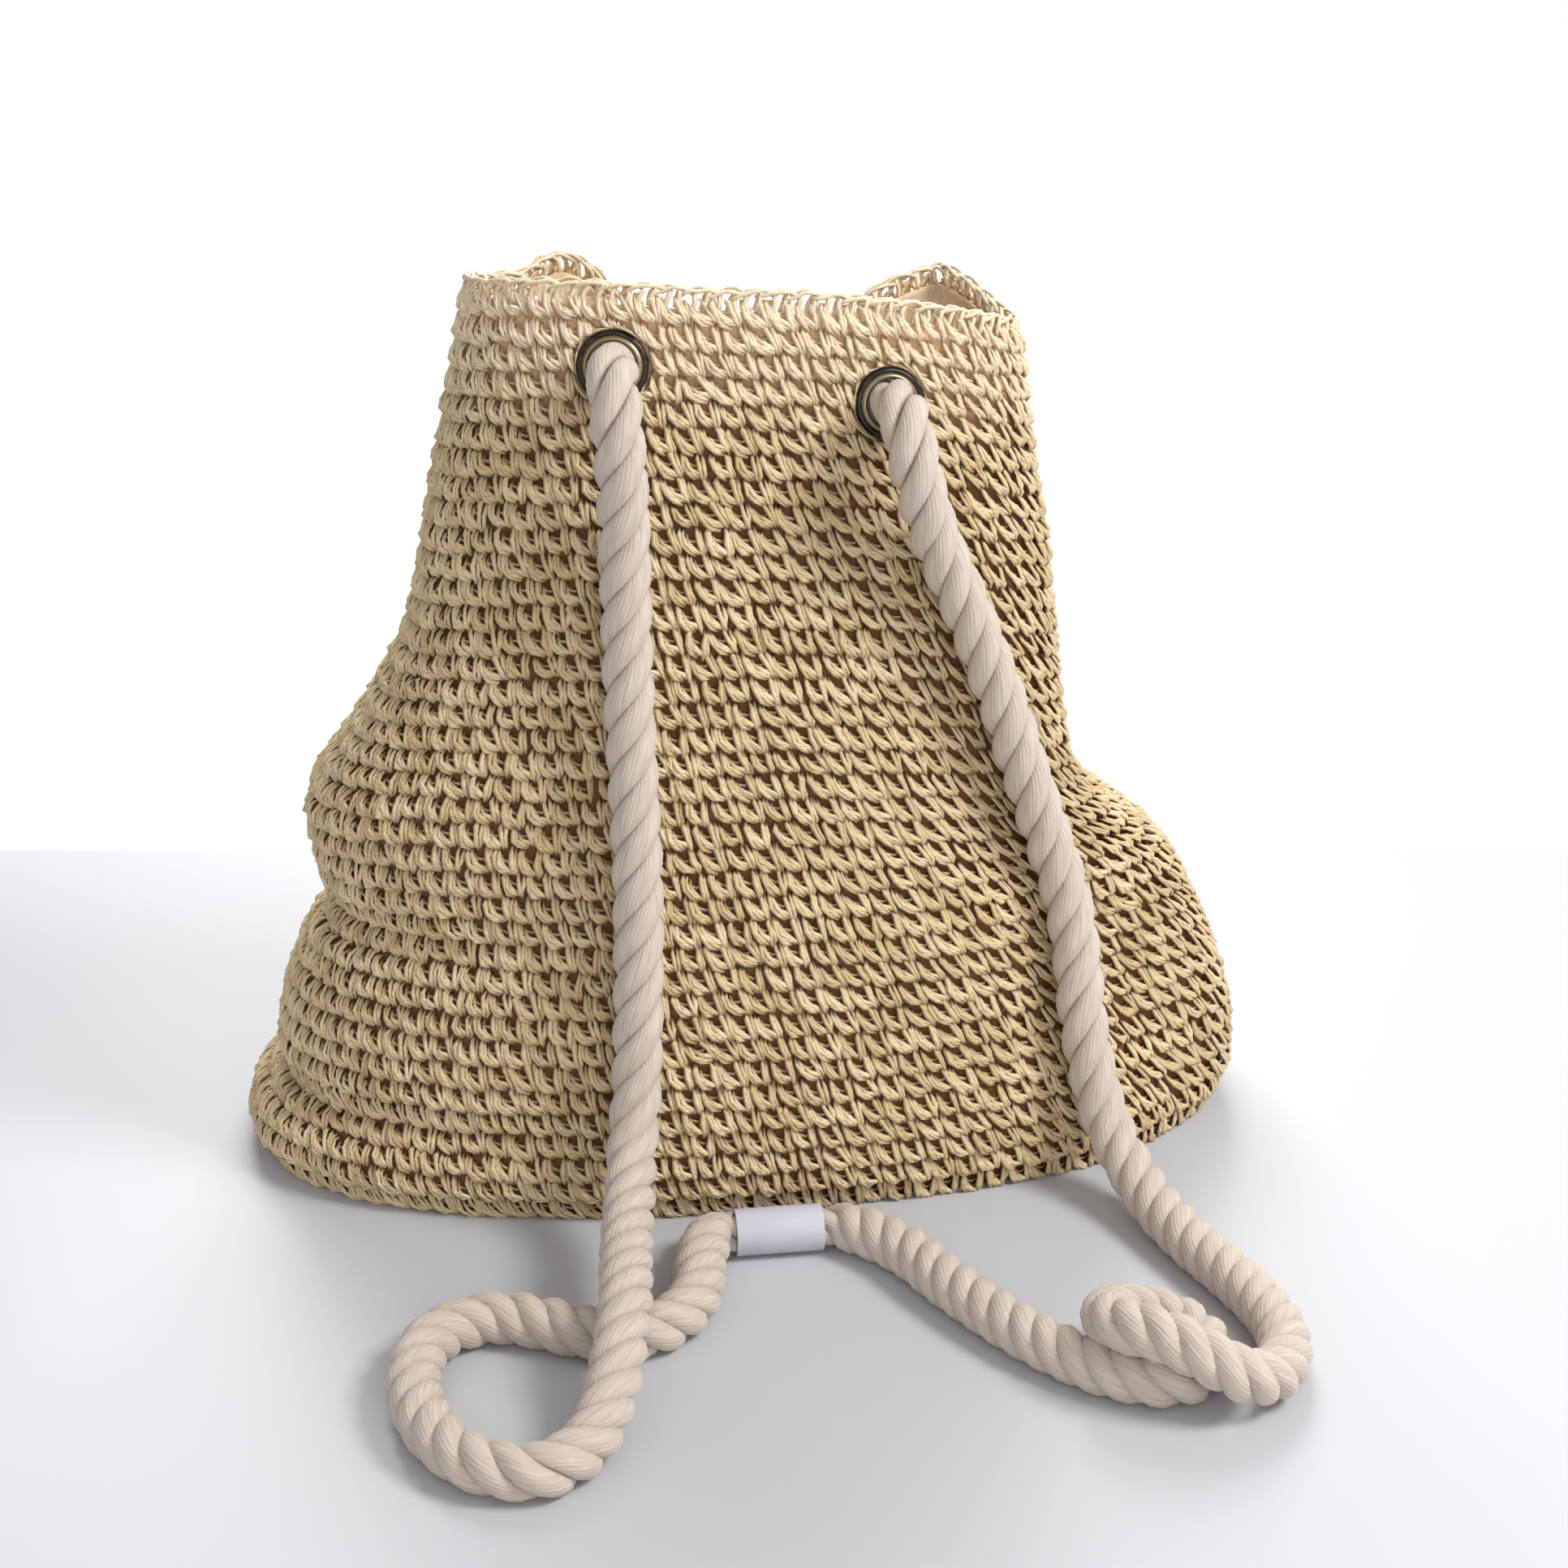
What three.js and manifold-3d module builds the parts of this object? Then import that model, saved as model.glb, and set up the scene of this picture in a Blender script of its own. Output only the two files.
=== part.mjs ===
// A crocheted straw bucket backpack, standing on its oval base and seen from its back panel.
// Millimetres, +Z up, origin under the middle of the base. The back panel, with its two
// grommets and the rope strap, faces -Y. The opening at the top is held nearly flat.
import * as THREE from "three";
import { mergeVertices } from "three/addons/utils/BufferGeometryUtils.js";
import Module from "manifold-3d";

const wasm = await Module();
wasm.setup();

// Driving dimensions
const BAG_WIDTH = 390;
const BAG_DEPTH = 205;
const WALL_HEIGHT = 357;
const WALL = 4;
const BASE_THICKNESS = 4;
const EDGING_HEIGHT = 6;
const EDGING_PROUD = 0.8;
const ROPE_DIAMETER = 18;
const GROMMET_BORE = 18.4;
const GROMMET_DIAMETER = 27;
const GROMMET_TUBE_WALL = 1.2;
const FLANGE_THICKNESS = 2.6;
const WASHER_THICKNESS = 1;
const ROLLED_LIP = 1.3;
const SEAT_DEPTH = 0.6;
const SLEEVE_LENGTH = 34;
const SLEEVE_BORE = 15.6;
const SLEEVE_WALL = 1.3;
const SLEEVE_TAIL = 1.4;
const SLEEVE_STANDOFF = 32;
const SLEEVE_CENTRE_X = 2.5;
const CORE_PROUD = 1;
const ROPE_END_STRAIGHT = 6.3;
const GAP = 0.3;

// How finely the surfaces are divided
const SIDES_ROUND_BAG = 64;
const ROWS_LOW = 16;
const ROWS_HIGH = 8;
const ROUND_SIDES = 24;
const KNOT_SIDES = 16;
const ROPE_SIDES = 8;
const ROPE_STEPS = 40;
const SLOPE_STEP = 0.004;
const ROWS_SPLIT = 0.5;

// Sections of the bag by share of the wall's height: the half widths to the left and right as
// shares of BAG_WIDTH, the half depths to the front (-Y) and back as shares of BAG_DEPTH, and
// how square the oval is (2 is a true ellipse).
const SECTIONS = [
  { height: 0.0, left: 0.496, right: 0.522, front: 0.494, back: 0.5, square: 2.45 },
  { height: 0.04, left: 0.51, right: 0.542, front: 0.512, back: 0.53, square: 2.4 },
  { height: 0.11, left: 0.484, right: 0.54, front: 0.506, back: 0.555, square: 2.25 },
  { height: 0.2, left: 0.455, right: 0.524, front: 0.48, back: 0.56, square: 2.15 },
  { height: 0.28, left: 0.441, right: 0.498, front: 0.455, back: 0.545, square: 2.15 },
  { height: 0.34, left: 0.43, right: 0.466, front: 0.432, back: 0.51, square: 2.2 },
  { height: 0.4, left: 0.426, right: 0.4, front: 0.405, back: 0.45, square: 2.35 },
  { height: 0.45, left: 0.416, right: 0.366, front: 0.388, back: 0.395, square: 2.45 },
  { height: 0.52, left: 0.376, right: 0.352, front: 0.37, back: 0.355, square: 2.5 },
  { height: 0.62, left: 0.327, right: 0.341, front: 0.345, back: 0.315, square: 2.5 },
  { height: 0.74, left: 0.303, right: 0.328, front: 0.312, back: 0.275, square: 2.6 },
  { height: 0.86, left: 0.28, right: 0.311, front: 0.278, back: 0.24, square: 2.7 },
  { height: 1.0, left: 0.256, right: 0.294, front: 0.24, back: 0.215, square: 2.8 },
];

// Height of the rim round the opening, as a share of WALL_HEIGHT. Angles are in degrees from
// +X towards +Y, so 270 is the middle of the back panel. Two ears stand up on the far side.
const RIM = [
  { angle: 0, rise: 0.93 },
  { angle: 20, rise: 0.942 },
  { angle: 34, rise: 0.96 },
  { angle: 48, rise: 0.963 },
  { angle: 60, rise: 0.95 },
  { angle: 74, rise: 0.915 },
  { angle: 94, rise: 0.905 },
  { angle: 104, rise: 0.94 },
  { angle: 112, rise: 0.98 },
  { angle: 122, rise: 0.986 },
  { angle: 136, rise: 0.975 },
  { angle: 160, rise: 0.98 },
  { angle: 190, rise: 0.995 },
  { angle: 215, rise: 1.002 },
  { angle: 250, rise: 1.003 },
  { angle: 270, rise: 0.992 },
  { angle: 300, rise: 0.97 },
  { angle: 330, rise: 0.946 },
  { angle: 360, rise: 0.93 },
];

// Folds where the soft wall buckles: the middle's angle, how far it spreads round in degrees,
// how many degrees it leans over the full height, its height and how tall it is as shares of
// the height, and how far it pushes out (or in, below zero) as a share of BAG_WIDTH.
const FOLDS = [
  { angle: 180, spread: 40, lean: 0, height: 0.41, tall: 0.05, push: 0.012 },
  { angle: 186, spread: 44, lean: 0, height: 0.292, tall: 0.026, push: -0.028 },
  { angle: 180, spread: 40, lean: 0, height: 0.185, tall: 0.05, push: 0.01 },
  { angle: 188, spread: 46, lean: 0, height: 0.092, tall: 0.02, push: -0.022 },
  { angle: 182, spread: 50, lean: 0, height: 0.04, tall: 0.03, push: 0.006 },
  { angle: 320, spread: 12, lean: -40, height: 0.2, tall: 0.15, push: -0.04 },
  { angle: 346, spread: 16, lean: 0, height: 0.13, tall: 0.1, push: 0.012 },
  { angle: 46, spread: 10, lean: 0, height: 1.02, tall: 0.09, push: 0.03 },
  { angle: 74, spread: 16, lean: 0, height: 1.02, tall: 0.14, push: -0.022 },
  { angle: 118, spread: 10, lean: 0, height: 1.02, tall: 0.09, push: 0.026 },
  { angle: 60, spread: 24, lean: 0, height: 0.33, tall: 0.06, push: 0.025 },
  { angle: 120, spread: 22, lean: 0, height: 0.3, tall: 0.05, push: -0.022 },
  { angle: 135, spread: 26, lean: 0, height: 0.2, tall: 0.05, push: 0.018 },
];

// Where the two grommets sit on the back panel
const GROMMETS = [
  { name: "left", angle: 250, height: 0.9245 },
  { name: "right", angle: 291, height: 0.9 },
];

// The rope's route on each side, centre line, from below its grommet to beside the sleeve.
const ROPE_LEFT = [
  [-49.5, -72.5, 328], [-49, -77.5, 316], [-48, -77.5, 300], [-47, -75.5, 275], [-47, -76.5, 245],
  [-47, -80.5, 215], [-46.5, -85.5, 183], [-46, -91.5, 151], [-46.5, -98, 120], [-48, -105, 88],
  [-50, -111.5, 58], [-52.5, -121, 41], [-55, -138, 33], [-58, -160, 29.5], [-61, -185, 28.4],
  [-63, -207, 28], [-67, -230, 23.5], [-73, -252, 15.5], [-82, -270, 10], [-99, -283, 9.2],
  [-118, -277, 9.2], [-132, -259, 9.2], [-139, -235, 9.2], [-138.5, -211, 9.2], [-129, -191, 9.2],
  [-111, -183, 9.2], [-93, -189, 9.2], [-75, -199, 9.2], [-58, -201, 9.2], [-43, -192, 9.2],
  [-34, -176, 9.2], [-31, -158, 9.2], [-27, -142, 9.2],
];
const ROPE_RIGHT = [
  [59, -73.5, 311], [61, -79, 299], [65, -78, 283], [71, -74, 266], [84, -72, 237], [97, -71.5, 204],
  [109, -71.5, 169], [119, -71.5, 140], [126, -74, 118], [129.5, -80, 97], [131, -90, 71],
  [134.5, -97, 48], [139, -104, 31], [145, -119, 18], [151, -140, 11], [158, -166, 9.2],
  [165.5, -190, 9.2], [171, -212, 9.2], [173, -232, 9.2], [169, -250, 9.6], [160, -264, 12],
  [148, -271, 17], [135, -268.5, 24], [122, -260, 28.2], [110, -249, 27], [107, -237, 23.5],
  [113, -226, 19], [126, -222, 15], [138, -228, 12], [143, -240, 10], [138, -253, 9.2],
  [125, -258, 9.2], [109, -252, 9.2], [92, -236, 9.2], [75, -211, 9.2], [60, -182, 9.2],
  [48, -156, 9.2], [36, -141, 9.2],
];

// A smooth curve through the rows of a table, at one place along one of its columns.
function readTable(table, along, column, place) {
  const last = table.length - 1;
  let row = 0;
  while (row < last - 1 && place >= table[row + 1][along]) row += 1;
  const slope = (n) => {
    const a = table[Math.max(n - 1, 0)];
    const b = table[Math.min(n + 1, last)];
    return (b[column] - a[column]) / (b[along] - a[along]);
  };
  const from = table[row];
  const to = table[row + 1];
  const span = to[along] - from[along];
  const s = THREE.MathUtils.clamp((place - from[along]) / span, 0, 1);
  const value = from[column] * (1 + 2 * s) * (1 - s) ** 2 + to[column] * s * s * (3 - 2 * s);
  return value + span * s * (1 - s) * (slope(row) * (1 - s) - slope(row + 1) * s);
}

// The rim table, carried on past both of its ends so that the curve closes smoothly.
const RIM_ROUND = [
  ...RIM.slice(0, -1).map((row) => ({ ...row, angle: row.angle - 360 })),
  ...RIM,
  ...RIM.slice(1).map((row) => ({ ...row, angle: row.angle + 360 })),
];

function rimHeight(angle) {
  const turn = THREE.MathUtils.euclideanModulo(angle, 360);
  return WALL_HEIGHT * readTable(RIM_ROUND, "angle", "rise", turn);
}

function foldPush(angle, height) {
  let push = 0;
  for (const fold of FOLDS) {
    const middle = fold.angle + fold.lean * (height - fold.height);
    const round = THREE.MathUtils.euclideanModulo(angle - middle + 180, 360) - 180;
    const up = (height - fold.height) / fold.tall;
    push += fold.push * Math.exp(-((round / fold.spread) ** 2) - up ** 2);
  }
  return push * BAG_WIDTH;
}

// A point on the outside of the wall. height is a share, 0 at the foot and 1 at the rim.
function wallPoint(angle, height) {
  const read = (column) => readTable(SECTIONS, "height", column, height);
  const turn = THREE.MathUtils.degToRad(angle);
  const power = 2 / read("square");
  const c = Math.cos(turn);
  const s = Math.sin(turn);
  const wide = BAG_WIDTH * read(c >= 0 ? "right" : "left");
  const deep = BAG_DEPTH * read(s >= 0 ? "back" : "front");
  const alongX = Math.sign(c) * Math.abs(c) ** power;
  const alongY = Math.sign(s) * Math.abs(s) ** power;
  const out = new THREE.Vector2(alongX / wide, alongY / deep).normalize();
  const push = foldPush(angle, height);
  return new THREE.Vector3(
    wide * alongX + push * out.x,
    deep * alongY + push * out.y,
    height * rimHeight(angle),
  );
}

// The direction square to the wall. level takes its slope out, as at the foot and the rim.
function wallNormal(angle, height, level = false) {
  const step = SLOPE_STEP * 360;
  const low = Math.max(height - SLOPE_STEP, 0);
  const high = Math.min(height + SLOPE_STEP, 1);
  const around = wallPoint(angle + step, height).sub(wallPoint(angle - step, height));
  const up = level ? new THREE.Vector3(0, 0, 1) : wallPoint(angle, high).sub(wallPoint(angle, low));
  if (level) around.z = 0;
  return around.cross(up).normalize();
}

function innerPoint(angle, height) {
  const level = height === 0 || height === 1;
  return wallPoint(angle, height).addScaledVector(wallNormal(angle, height, level), -WALL);
}

const ringAngles = Array.from({ length: SIDES_ROUND_BAG }, (_, n) => (n * 360) / SIDES_ROUND_BAG);

// A closed band: every ring is a closed outline, and the last ring meets the first.
function closedBand(rings) {
  const count = rings[0].length;
  const positions = rings.flat().flatMap((point) => point.toArray());
  const faces = [];
  rings.forEach((_, ring) => {
    const next = (ring + 1) % rings.length;
    for (let n = 0; n < count; n += 1) {
      const m = (n + 1) % count;
      const a = ring * count + n;
      const b = next * count + n;
      const c = next * count + m;
      const d = ring * count + m;
      faces.push(a, b, c, a, c, d);
    }
  });
  const geometry = new THREE.BufferGeometry();
  geometry.setAttribute("position", new THREE.Float32BufferAttribute(positions, 3));
  geometry.setIndex(faces);
  geometry.computeVertexNormals();
  return geometry;
}

function toSolid(geometry) {
  const bare = geometry.clone();
  bare.deleteAttribute("normal");
  bare.deleteAttribute("uv");
  const merged = mergeVertices(bare);
  const vertProperties = new Float32Array(merged.attributes.position.array);
  const triVerts = new Uint32Array(merged.index.array);
  return new wasm.Manifold(new wasm.Mesh({ numProp: 3, vertProperties, triVerts }));
}

function fromSolid(solid) {
  const mesh = solid.getMesh();
  const geometry = new THREE.BufferGeometry();
  geometry.setAttribute("position", new THREE.BufferAttribute(mesh.vertProperties, 3));
  geometry.setIndex(new THREE.BufferAttribute(mesh.triVerts, 1));
  geometry.computeVertexNormals();
  return geometry;
}

// Each grommet stands square to the wall: its place, and the turn that brings +Y to its axis.
const seats = GROMMETS.map(({ name, angle, height }) => {
  const centre = wallPoint(angle, height);
  const axis = wallNormal(angle, height);
  const turn = new THREE.Quaternion().setFromUnitVectors(new THREE.Vector3(0, 1, 0), axis);
  return { name, centre, axis, turn };
});

// Heights along a grommet's axis, from the wall's outer skin
const tubeRadius = GROMMET_BORE / 2 + GROMMET_TUBE_WALL;
const flangeRadius = GROMMET_DIAMETER / 2;
const flangeBottom = GAP - SEAT_DEPTH;
const flangeTop = flangeBottom + FLANGE_THICKNESS;
const washerTop = SEAT_DEPTH - WALL - GAP;
const washerBottom = washerTop - WASHER_THICKNESS;
const lipTop = washerBottom - GAP;
const lipBottom = lipTop - ROLLED_LIP;
const neckTop = flangeTop + CORE_PROUD;

function cylinderAlong(seat, radius, low, high) {
  const geometry = new THREE.CylinderGeometry(radius, radius, high - low, ROUND_SIDES);
  geometry.translate(0, (low + high) / 2, 0);
  geometry.applyQuaternion(seat.turn);
  geometry.translate(...seat.centre.toArray());
  return toSolid(geometry);
}

// The crocheted wall: outer and inner skins, with a hole and two flat seats for each grommet.
function makeWall() {
  const heights = [];
  for (let n = 0; n < ROWS_LOW; n += 1) heights.push((ROWS_SPLIT * n) / ROWS_LOW);
  for (let n = 0; n <= ROWS_HIGH; n += 1) {
    heights.push(ROWS_SPLIT + ((1 - ROWS_SPLIT) * n) / ROWS_HIGH);
  }
  const rings = ringAngles.map((angle) => [
    ...heights.map((height) => wallPoint(angle, height)),
    ...heights.toReversed().map((height) => innerPoint(angle, height)),
  ]);
  let wall = toSolid(closedBand(rings));
  const reach = WALL * 2;
  for (const seat of seats) {
    wall = wall.subtract(cylinderAlong(seat, tubeRadius + GAP, -reach, reach));
    wall = wall.subtract(cylinderAlong(seat, flangeRadius + GAP, -SEAT_DEPTH, reach));
    wall = wall.subtract(cylinderAlong(seat, flangeRadius + GAP, -reach, SEAT_DEPTH - WALL));
  }
  return fromSolid(wall);
}

// The oval base, a disc inside the foot of the wall.
function makeBase() {
  const outline = ringAngles.map((angle) => {
    const point = innerPoint(angle, 0).addScaledVector(wallNormal(angle, 0, true), -GAP);
    return new THREE.Vector2(point.x, point.y);
  });
  return new THREE.ExtrudeGeometry(new THREE.Shape(outline), { depth: BASE_THICKNESS, bevelEnabled: false });
}

// The last round of crochet, which sits on the wall's top edge all round the opening.
const EDGING_WIDEST = 0.4 * EDGING_HEIGHT;

function makeEdging() {
  const half = WALL / 2 + EDGING_PROUD;
  const section = [
    [half - EDGING_PROUD, GAP],
    [half, EDGING_WIDEST],
    [half - EDGING_PROUD, EDGING_HEIGHT],
    [EDGING_PROUD - half, EDGING_HEIGHT],
    [-half, EDGING_WIDEST],
    [EDGING_PROUD - half, GAP],
  ];
  const rings = ringAngles.map((angle) => {
    const out = wallNormal(angle, 1, true);
    const middle = wallPoint(angle, 1).addScaledVector(out, -WALL / 2);
    return section.map(([aside, up]) => {
      const point = middle.clone().addScaledVector(out, aside);
      point.z += up;
      return point;
    });
  });
  return closedBand(rings);
}

function lathe(outline, sides) {
  return new THREE.LatheGeometry(outline.map(([r, y]) => new THREE.Vector2(r, y)), sides);
}

// The front half of a grommet: a crowned ring and a tube whose end is rolled over the washer.
const flangeEdge = 0.1 * FLANGE_THICKNESS;
const flangeShoulder = 0.6 * FLANGE_THICKNESS;
const boreRounding = 0.4 * FLANGE_THICKNESS;

function makeEyelet() {
  const bore = GROMMET_BORE / 2;
  return lathe([
    [bore, lipBottom],
    [tubeRadius + ROLLED_LIP, lipBottom],
    [tubeRadius + ROLLED_LIP, lipTop],
    [tubeRadius, lipTop],
    [tubeRadius, flangeBottom],
    [flangeRadius, flangeBottom],
    [flangeRadius - flangeEdge, flangeBottom + FLANGE_THICKNESS / 2],
    [flangeRadius - flangeShoulder, flangeTop],
    [bore + boreRounding, flangeTop],
    [bore, flangeTop - boreRounding],
    [bore, lipBottom],
  ], ROUND_SIDES);
}

function makeWasher() {
  return lathe([
    [tubeRadius + GAP, washerBottom],
    [flangeRadius, washerBottom],
    [flangeRadius, washerTop],
    [tubeRadius + GAP, washerTop],
    [tubeRadius + GAP, washerBottom],
  ], ROUND_SIDES);
}

// A stopper knot behind the wall, the short tail below it and the neck squeezed in the bore.
const KNOT_RADIUS = 1.05 * ROPE_DIAMETER;
const KNOT_LENGTH = 1.6 * ROPE_DIAMETER;
const KNOT_TAIL_LENGTH = ROPE_DIAMETER;

function makeKnot() {
  const neck = GROMMET_BORE / 2 - GAP;
  const top = lipBottom - GAP;
  const tail = ROPE_DIAMETER / 2;
  const end = top - KNOT_LENGTH - KNOT_TAIL_LENGTH;
  // The knot's outline as shares of its radius and of its length down from the top
  const bulge = [[0.75, 0.94], [1, 0.7], [1, 0.35], [0.75, 0.06]];
  return lathe([
    [0, end],
    [tail, end],
    [tail, top - KNOT_LENGTH],
    ...bulge.map(([wide, down]) => [wide * KNOT_RADIUS, top - down * KNOT_LENGTH]),
    [neck, top],
    [neck, neckTop],
    [0, neckTop],
  ], KNOT_SIDES);
}

// The white loop at the foot of the back panel, with a flat tail back to the base's edge.
const sleeveRadius = SLEEVE_BORE / 2 + SLEEVE_WALL;
const tailShare = SLEEVE_TAIL / WALL_HEIGHT;
const sleeveCentre = new THREE.Vector3(
  SLEEVE_CENTRE_X,
  wallPoint(270, tailShare).y - SLEEVE_STANDOFF,
  sleeveRadius,
);
const alongX = new THREE.Matrix4().makeBasis(
  new THREE.Vector3(0, 1, 0),
  new THREE.Vector3(0, 0, 1),
  new THREE.Vector3(1, 0, 0),
);

function makeSleeve() {
  const low = SLEEVE_TAIL - sleeveRadius;
  const shape = new THREE.Shape();
  shape.moveTo(0, -sleeveRadius);
  shape.lineTo(SLEEVE_STANDOFF - GAP, -sleeveRadius);
  shape.lineTo(SLEEVE_STANDOFF - GAP, low);
  shape.lineTo(Math.sqrt(sleeveRadius ** 2 - low ** 2), low);
  shape.absarc(0, 0, sleeveRadius, Math.asin(low / sleeveRadius), 1.5 * Math.PI, false);
  const bore = new THREE.Path();
  bore.absarc(0, 0, SLEEVE_BORE / 2, 0, 2 * Math.PI, true);
  shape.holes.push(bore);
  const geometry = new THREE.ExtrudeGeometry(shape, {
    depth: SLEEVE_LENGTH,
    bevelEnabled: false,
    curveSegments: ROUND_SIDES / 2,
  });
  return geometry.translate(0, 0, -SLEEVE_LENGTH / 2);
}

// The stretch of rope that the sleeve holds, squeezed to its bore.
const coreLength = SLEEVE_LENGTH + 2 * CORE_PROUD;

function makeCore() {
  const radius = SLEEVE_BORE / 2 - GAP;
  const geometry = new THREE.CylinderGeometry(radius, radius, coreLength, ROUND_SIDES);
  return geometry.rotateX(Math.PI / 2);
}

// A rope from its grommet, along its route, to its end of the core in the sleeve.
function makeRope(seat, route, side) {
  const out = neckTop + GAP;
  const sleeveEnd = sleeveCentre.clone();
  sleeveEnd.x += side * (coreLength / 2 + GAP);
  const beforeEnd = sleeveEnd.clone();
  beforeEnd.x += side * ROPE_END_STRAIGHT;
  const points = [
    seat.centre.clone().addScaledVector(seat.axis, out),
    seat.centre.clone().addScaledVector(seat.axis, out + ROPE_END_STRAIGHT),
    ...route.map(([x, y, z]) => new THREE.Vector3(x, y, z)),
    beforeEnd,
    sleeveEnd,
  ];
  const path = new THREE.CatmullRomCurve3(points, false, "centripetal");
  path.arcLengthDivisions = points.length * 20;
  const section = new THREE.Shape();
  for (let n = 0; n < ROPE_SIDES; n += 1) {
    const turn = (2 * Math.PI * n) / ROPE_SIDES;
    const x = (ROPE_DIAMETER / 2) * Math.cos(turn);
    const y = (ROPE_DIAMETER / 2) * Math.sin(turn);
    if (n === 0) section.moveTo(x, y);
    else section.lineTo(x, y);
  }
  return new THREE.ExtrudeGeometry(section, { steps: ROPE_STEPS, extrudePath: path });
}

const strawMaterial = new THREE.MeshStandardMaterial({ color: 0xcdb991, roughness: 0.75, metalness: 0 });
const ropeMaterial = new THREE.MeshStandardMaterial({ color: 0xd6c5b8, roughness: 0.9, metalness: 0 });
const brassMaterial = new THREE.MeshStandardMaterial({ color: 0x4a4338, roughness: 0.35, metalness: 0.9 });
const whiteMaterial = new THREE.MeshStandardMaterial({ color: 0xf0f0f2, roughness: 0.8, metalness: 0 });

const bag = new THREE.Group();

function addPiece(name, geometry, material, parent = bag) {
  const mesh = new THREE.Mesh(geometry, material);
  mesh.name = name;
  parent.add(mesh);
  return mesh;
}

addPiece("straw_wall", makeWall(), strawMaterial);
addPiece("straw_base", makeBase(), strawMaterial);
addPiece("rim_edging", makeEdging(), strawMaterial);

for (const seat of seats) {
  const place = new THREE.Group();
  place.position.copy(seat.centre);
  place.quaternion.copy(seat.turn);
  bag.add(place);
  addPiece(`grommet_${seat.name}_eyelet`, makeEyelet(), brassMaterial, place);
  addPiece(`grommet_${seat.name}_washer`, makeWasher(), brassMaterial, place);
  addPiece(`strap_knot_${seat.name}`, makeKnot(), ropeMaterial, place);
}

addPiece("strap_rope_left", makeRope(seats[0], ROPE_LEFT, -1), ropeMaterial);
addPiece("strap_rope_right", makeRope(seats[1], ROPE_RIGHT, 1), ropeMaterial);

const sleevePlace = new THREE.Group();
sleevePlace.position.copy(sleeveCentre);
sleevePlace.setRotationFromMatrix(alongX);
bag.add(sleevePlace);
addPiece("strap_sleeve", makeSleeve(), whiteMaterial, sleevePlace);
addPiece("strap_rope_core", makeCore(), ropeMaterial, sleevePlace);

export default bag;
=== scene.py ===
# %% [markdown]
# # A crocheted straw backpack
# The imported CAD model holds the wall, the base, the rim, the two grommets, the rope strap, its
# stopper knots and the white loop. This lesson dresses each of them, with sizes in mm that are
# the CAD's own. The straw is built as real stitches laid on the bag's own surface, because its
# holes, overlaps and shadows are what makes crochet look like crochet.

# %% Load the frame
import math

import bpy
import numpy as np
from mathutils import Matrix, Vector


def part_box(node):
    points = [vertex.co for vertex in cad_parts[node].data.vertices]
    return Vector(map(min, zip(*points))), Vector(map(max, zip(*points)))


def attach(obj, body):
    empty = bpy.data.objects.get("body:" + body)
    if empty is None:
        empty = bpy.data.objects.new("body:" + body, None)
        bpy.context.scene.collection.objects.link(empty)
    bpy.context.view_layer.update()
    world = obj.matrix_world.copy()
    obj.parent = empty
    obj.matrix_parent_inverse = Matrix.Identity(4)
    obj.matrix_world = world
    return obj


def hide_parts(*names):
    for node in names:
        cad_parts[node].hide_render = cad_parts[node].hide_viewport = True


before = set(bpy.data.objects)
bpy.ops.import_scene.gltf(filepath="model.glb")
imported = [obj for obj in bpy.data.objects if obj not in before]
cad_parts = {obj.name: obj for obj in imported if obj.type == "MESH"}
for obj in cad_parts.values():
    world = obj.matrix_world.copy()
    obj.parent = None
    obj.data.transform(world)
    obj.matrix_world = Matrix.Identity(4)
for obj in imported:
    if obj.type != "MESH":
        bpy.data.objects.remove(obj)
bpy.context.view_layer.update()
MM = 0.001


def deselect():
    for thing in bpy.context.selected_objects:
        thing.select_set(False)


# %% [markdown]
# ## The camera
# The photograph looks down on the bag's back panel from a little to its left. A long lens
# keeps the bag's sides nearly parallel, so it is set before anything else and left alone.

# %% Camera
CAMERA_PLACE = Vector((-134.4, -1123.2, 577.1)) * MM
CAMERA_AIM = Vector((15, -60, 165)) * MM
CAMERA_LENS = 67.45
SENSOR_WIDTH = 36

deselect()
turn = (CAMERA_AIM - CAMERA_PLACE).to_track_quat("-Z", "Y").to_euler()
bpy.ops.object.camera_add(location=CAMERA_PLACE, rotation=turn)
camera = bpy.context.object
camera.data.lens = CAMERA_LENS
camera.data.sensor_width = SENSOR_WIDTH
bpy.context.scene.camera = camera
print("camera at", tuple(round(x, 3) for x in camera.location))

# %% [markdown]
# ## The bag's surface
# The CAD wall is worked out from three short tables: sections by height, the rim's height by
# angle, and folds. The same tables are repeated here, so stitches can be laid on the surface
# exactly where the CAD wall's outer skin is.

# %% Tables of the bag's surface
BAG_WIDTH = 390
BAG_DEPTH = 205
WALL_HEIGHT = 357
WALL = 4

# height, left, right, front, back, square
SECTIONS = np.array([
    (0.0, 0.496, 0.522, 0.494, 0.5, 2.45),
    (0.04, 0.51, 0.542, 0.512, 0.53, 2.4),
    (0.11, 0.484, 0.54, 0.506, 0.555, 2.25),
    (0.2, 0.455, 0.524, 0.48, 0.56, 2.15),
    (0.28, 0.441, 0.498, 0.455, 0.545, 2.15),
    (0.34, 0.43, 0.466, 0.432, 0.51, 2.2),
    (0.4, 0.426, 0.4, 0.405, 0.45, 2.35),
    (0.45, 0.416, 0.366, 0.388, 0.395, 2.45),
    (0.52, 0.376, 0.352, 0.37, 0.355, 2.5),
    (0.62, 0.327, 0.341, 0.345, 0.315, 2.5),
    (0.74, 0.303, 0.328, 0.312, 0.275, 2.6),
    (0.86, 0.28, 0.311, 0.278, 0.24, 2.7),
    (1.0, 0.256, 0.294, 0.24, 0.215, 2.8),
])
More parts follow.
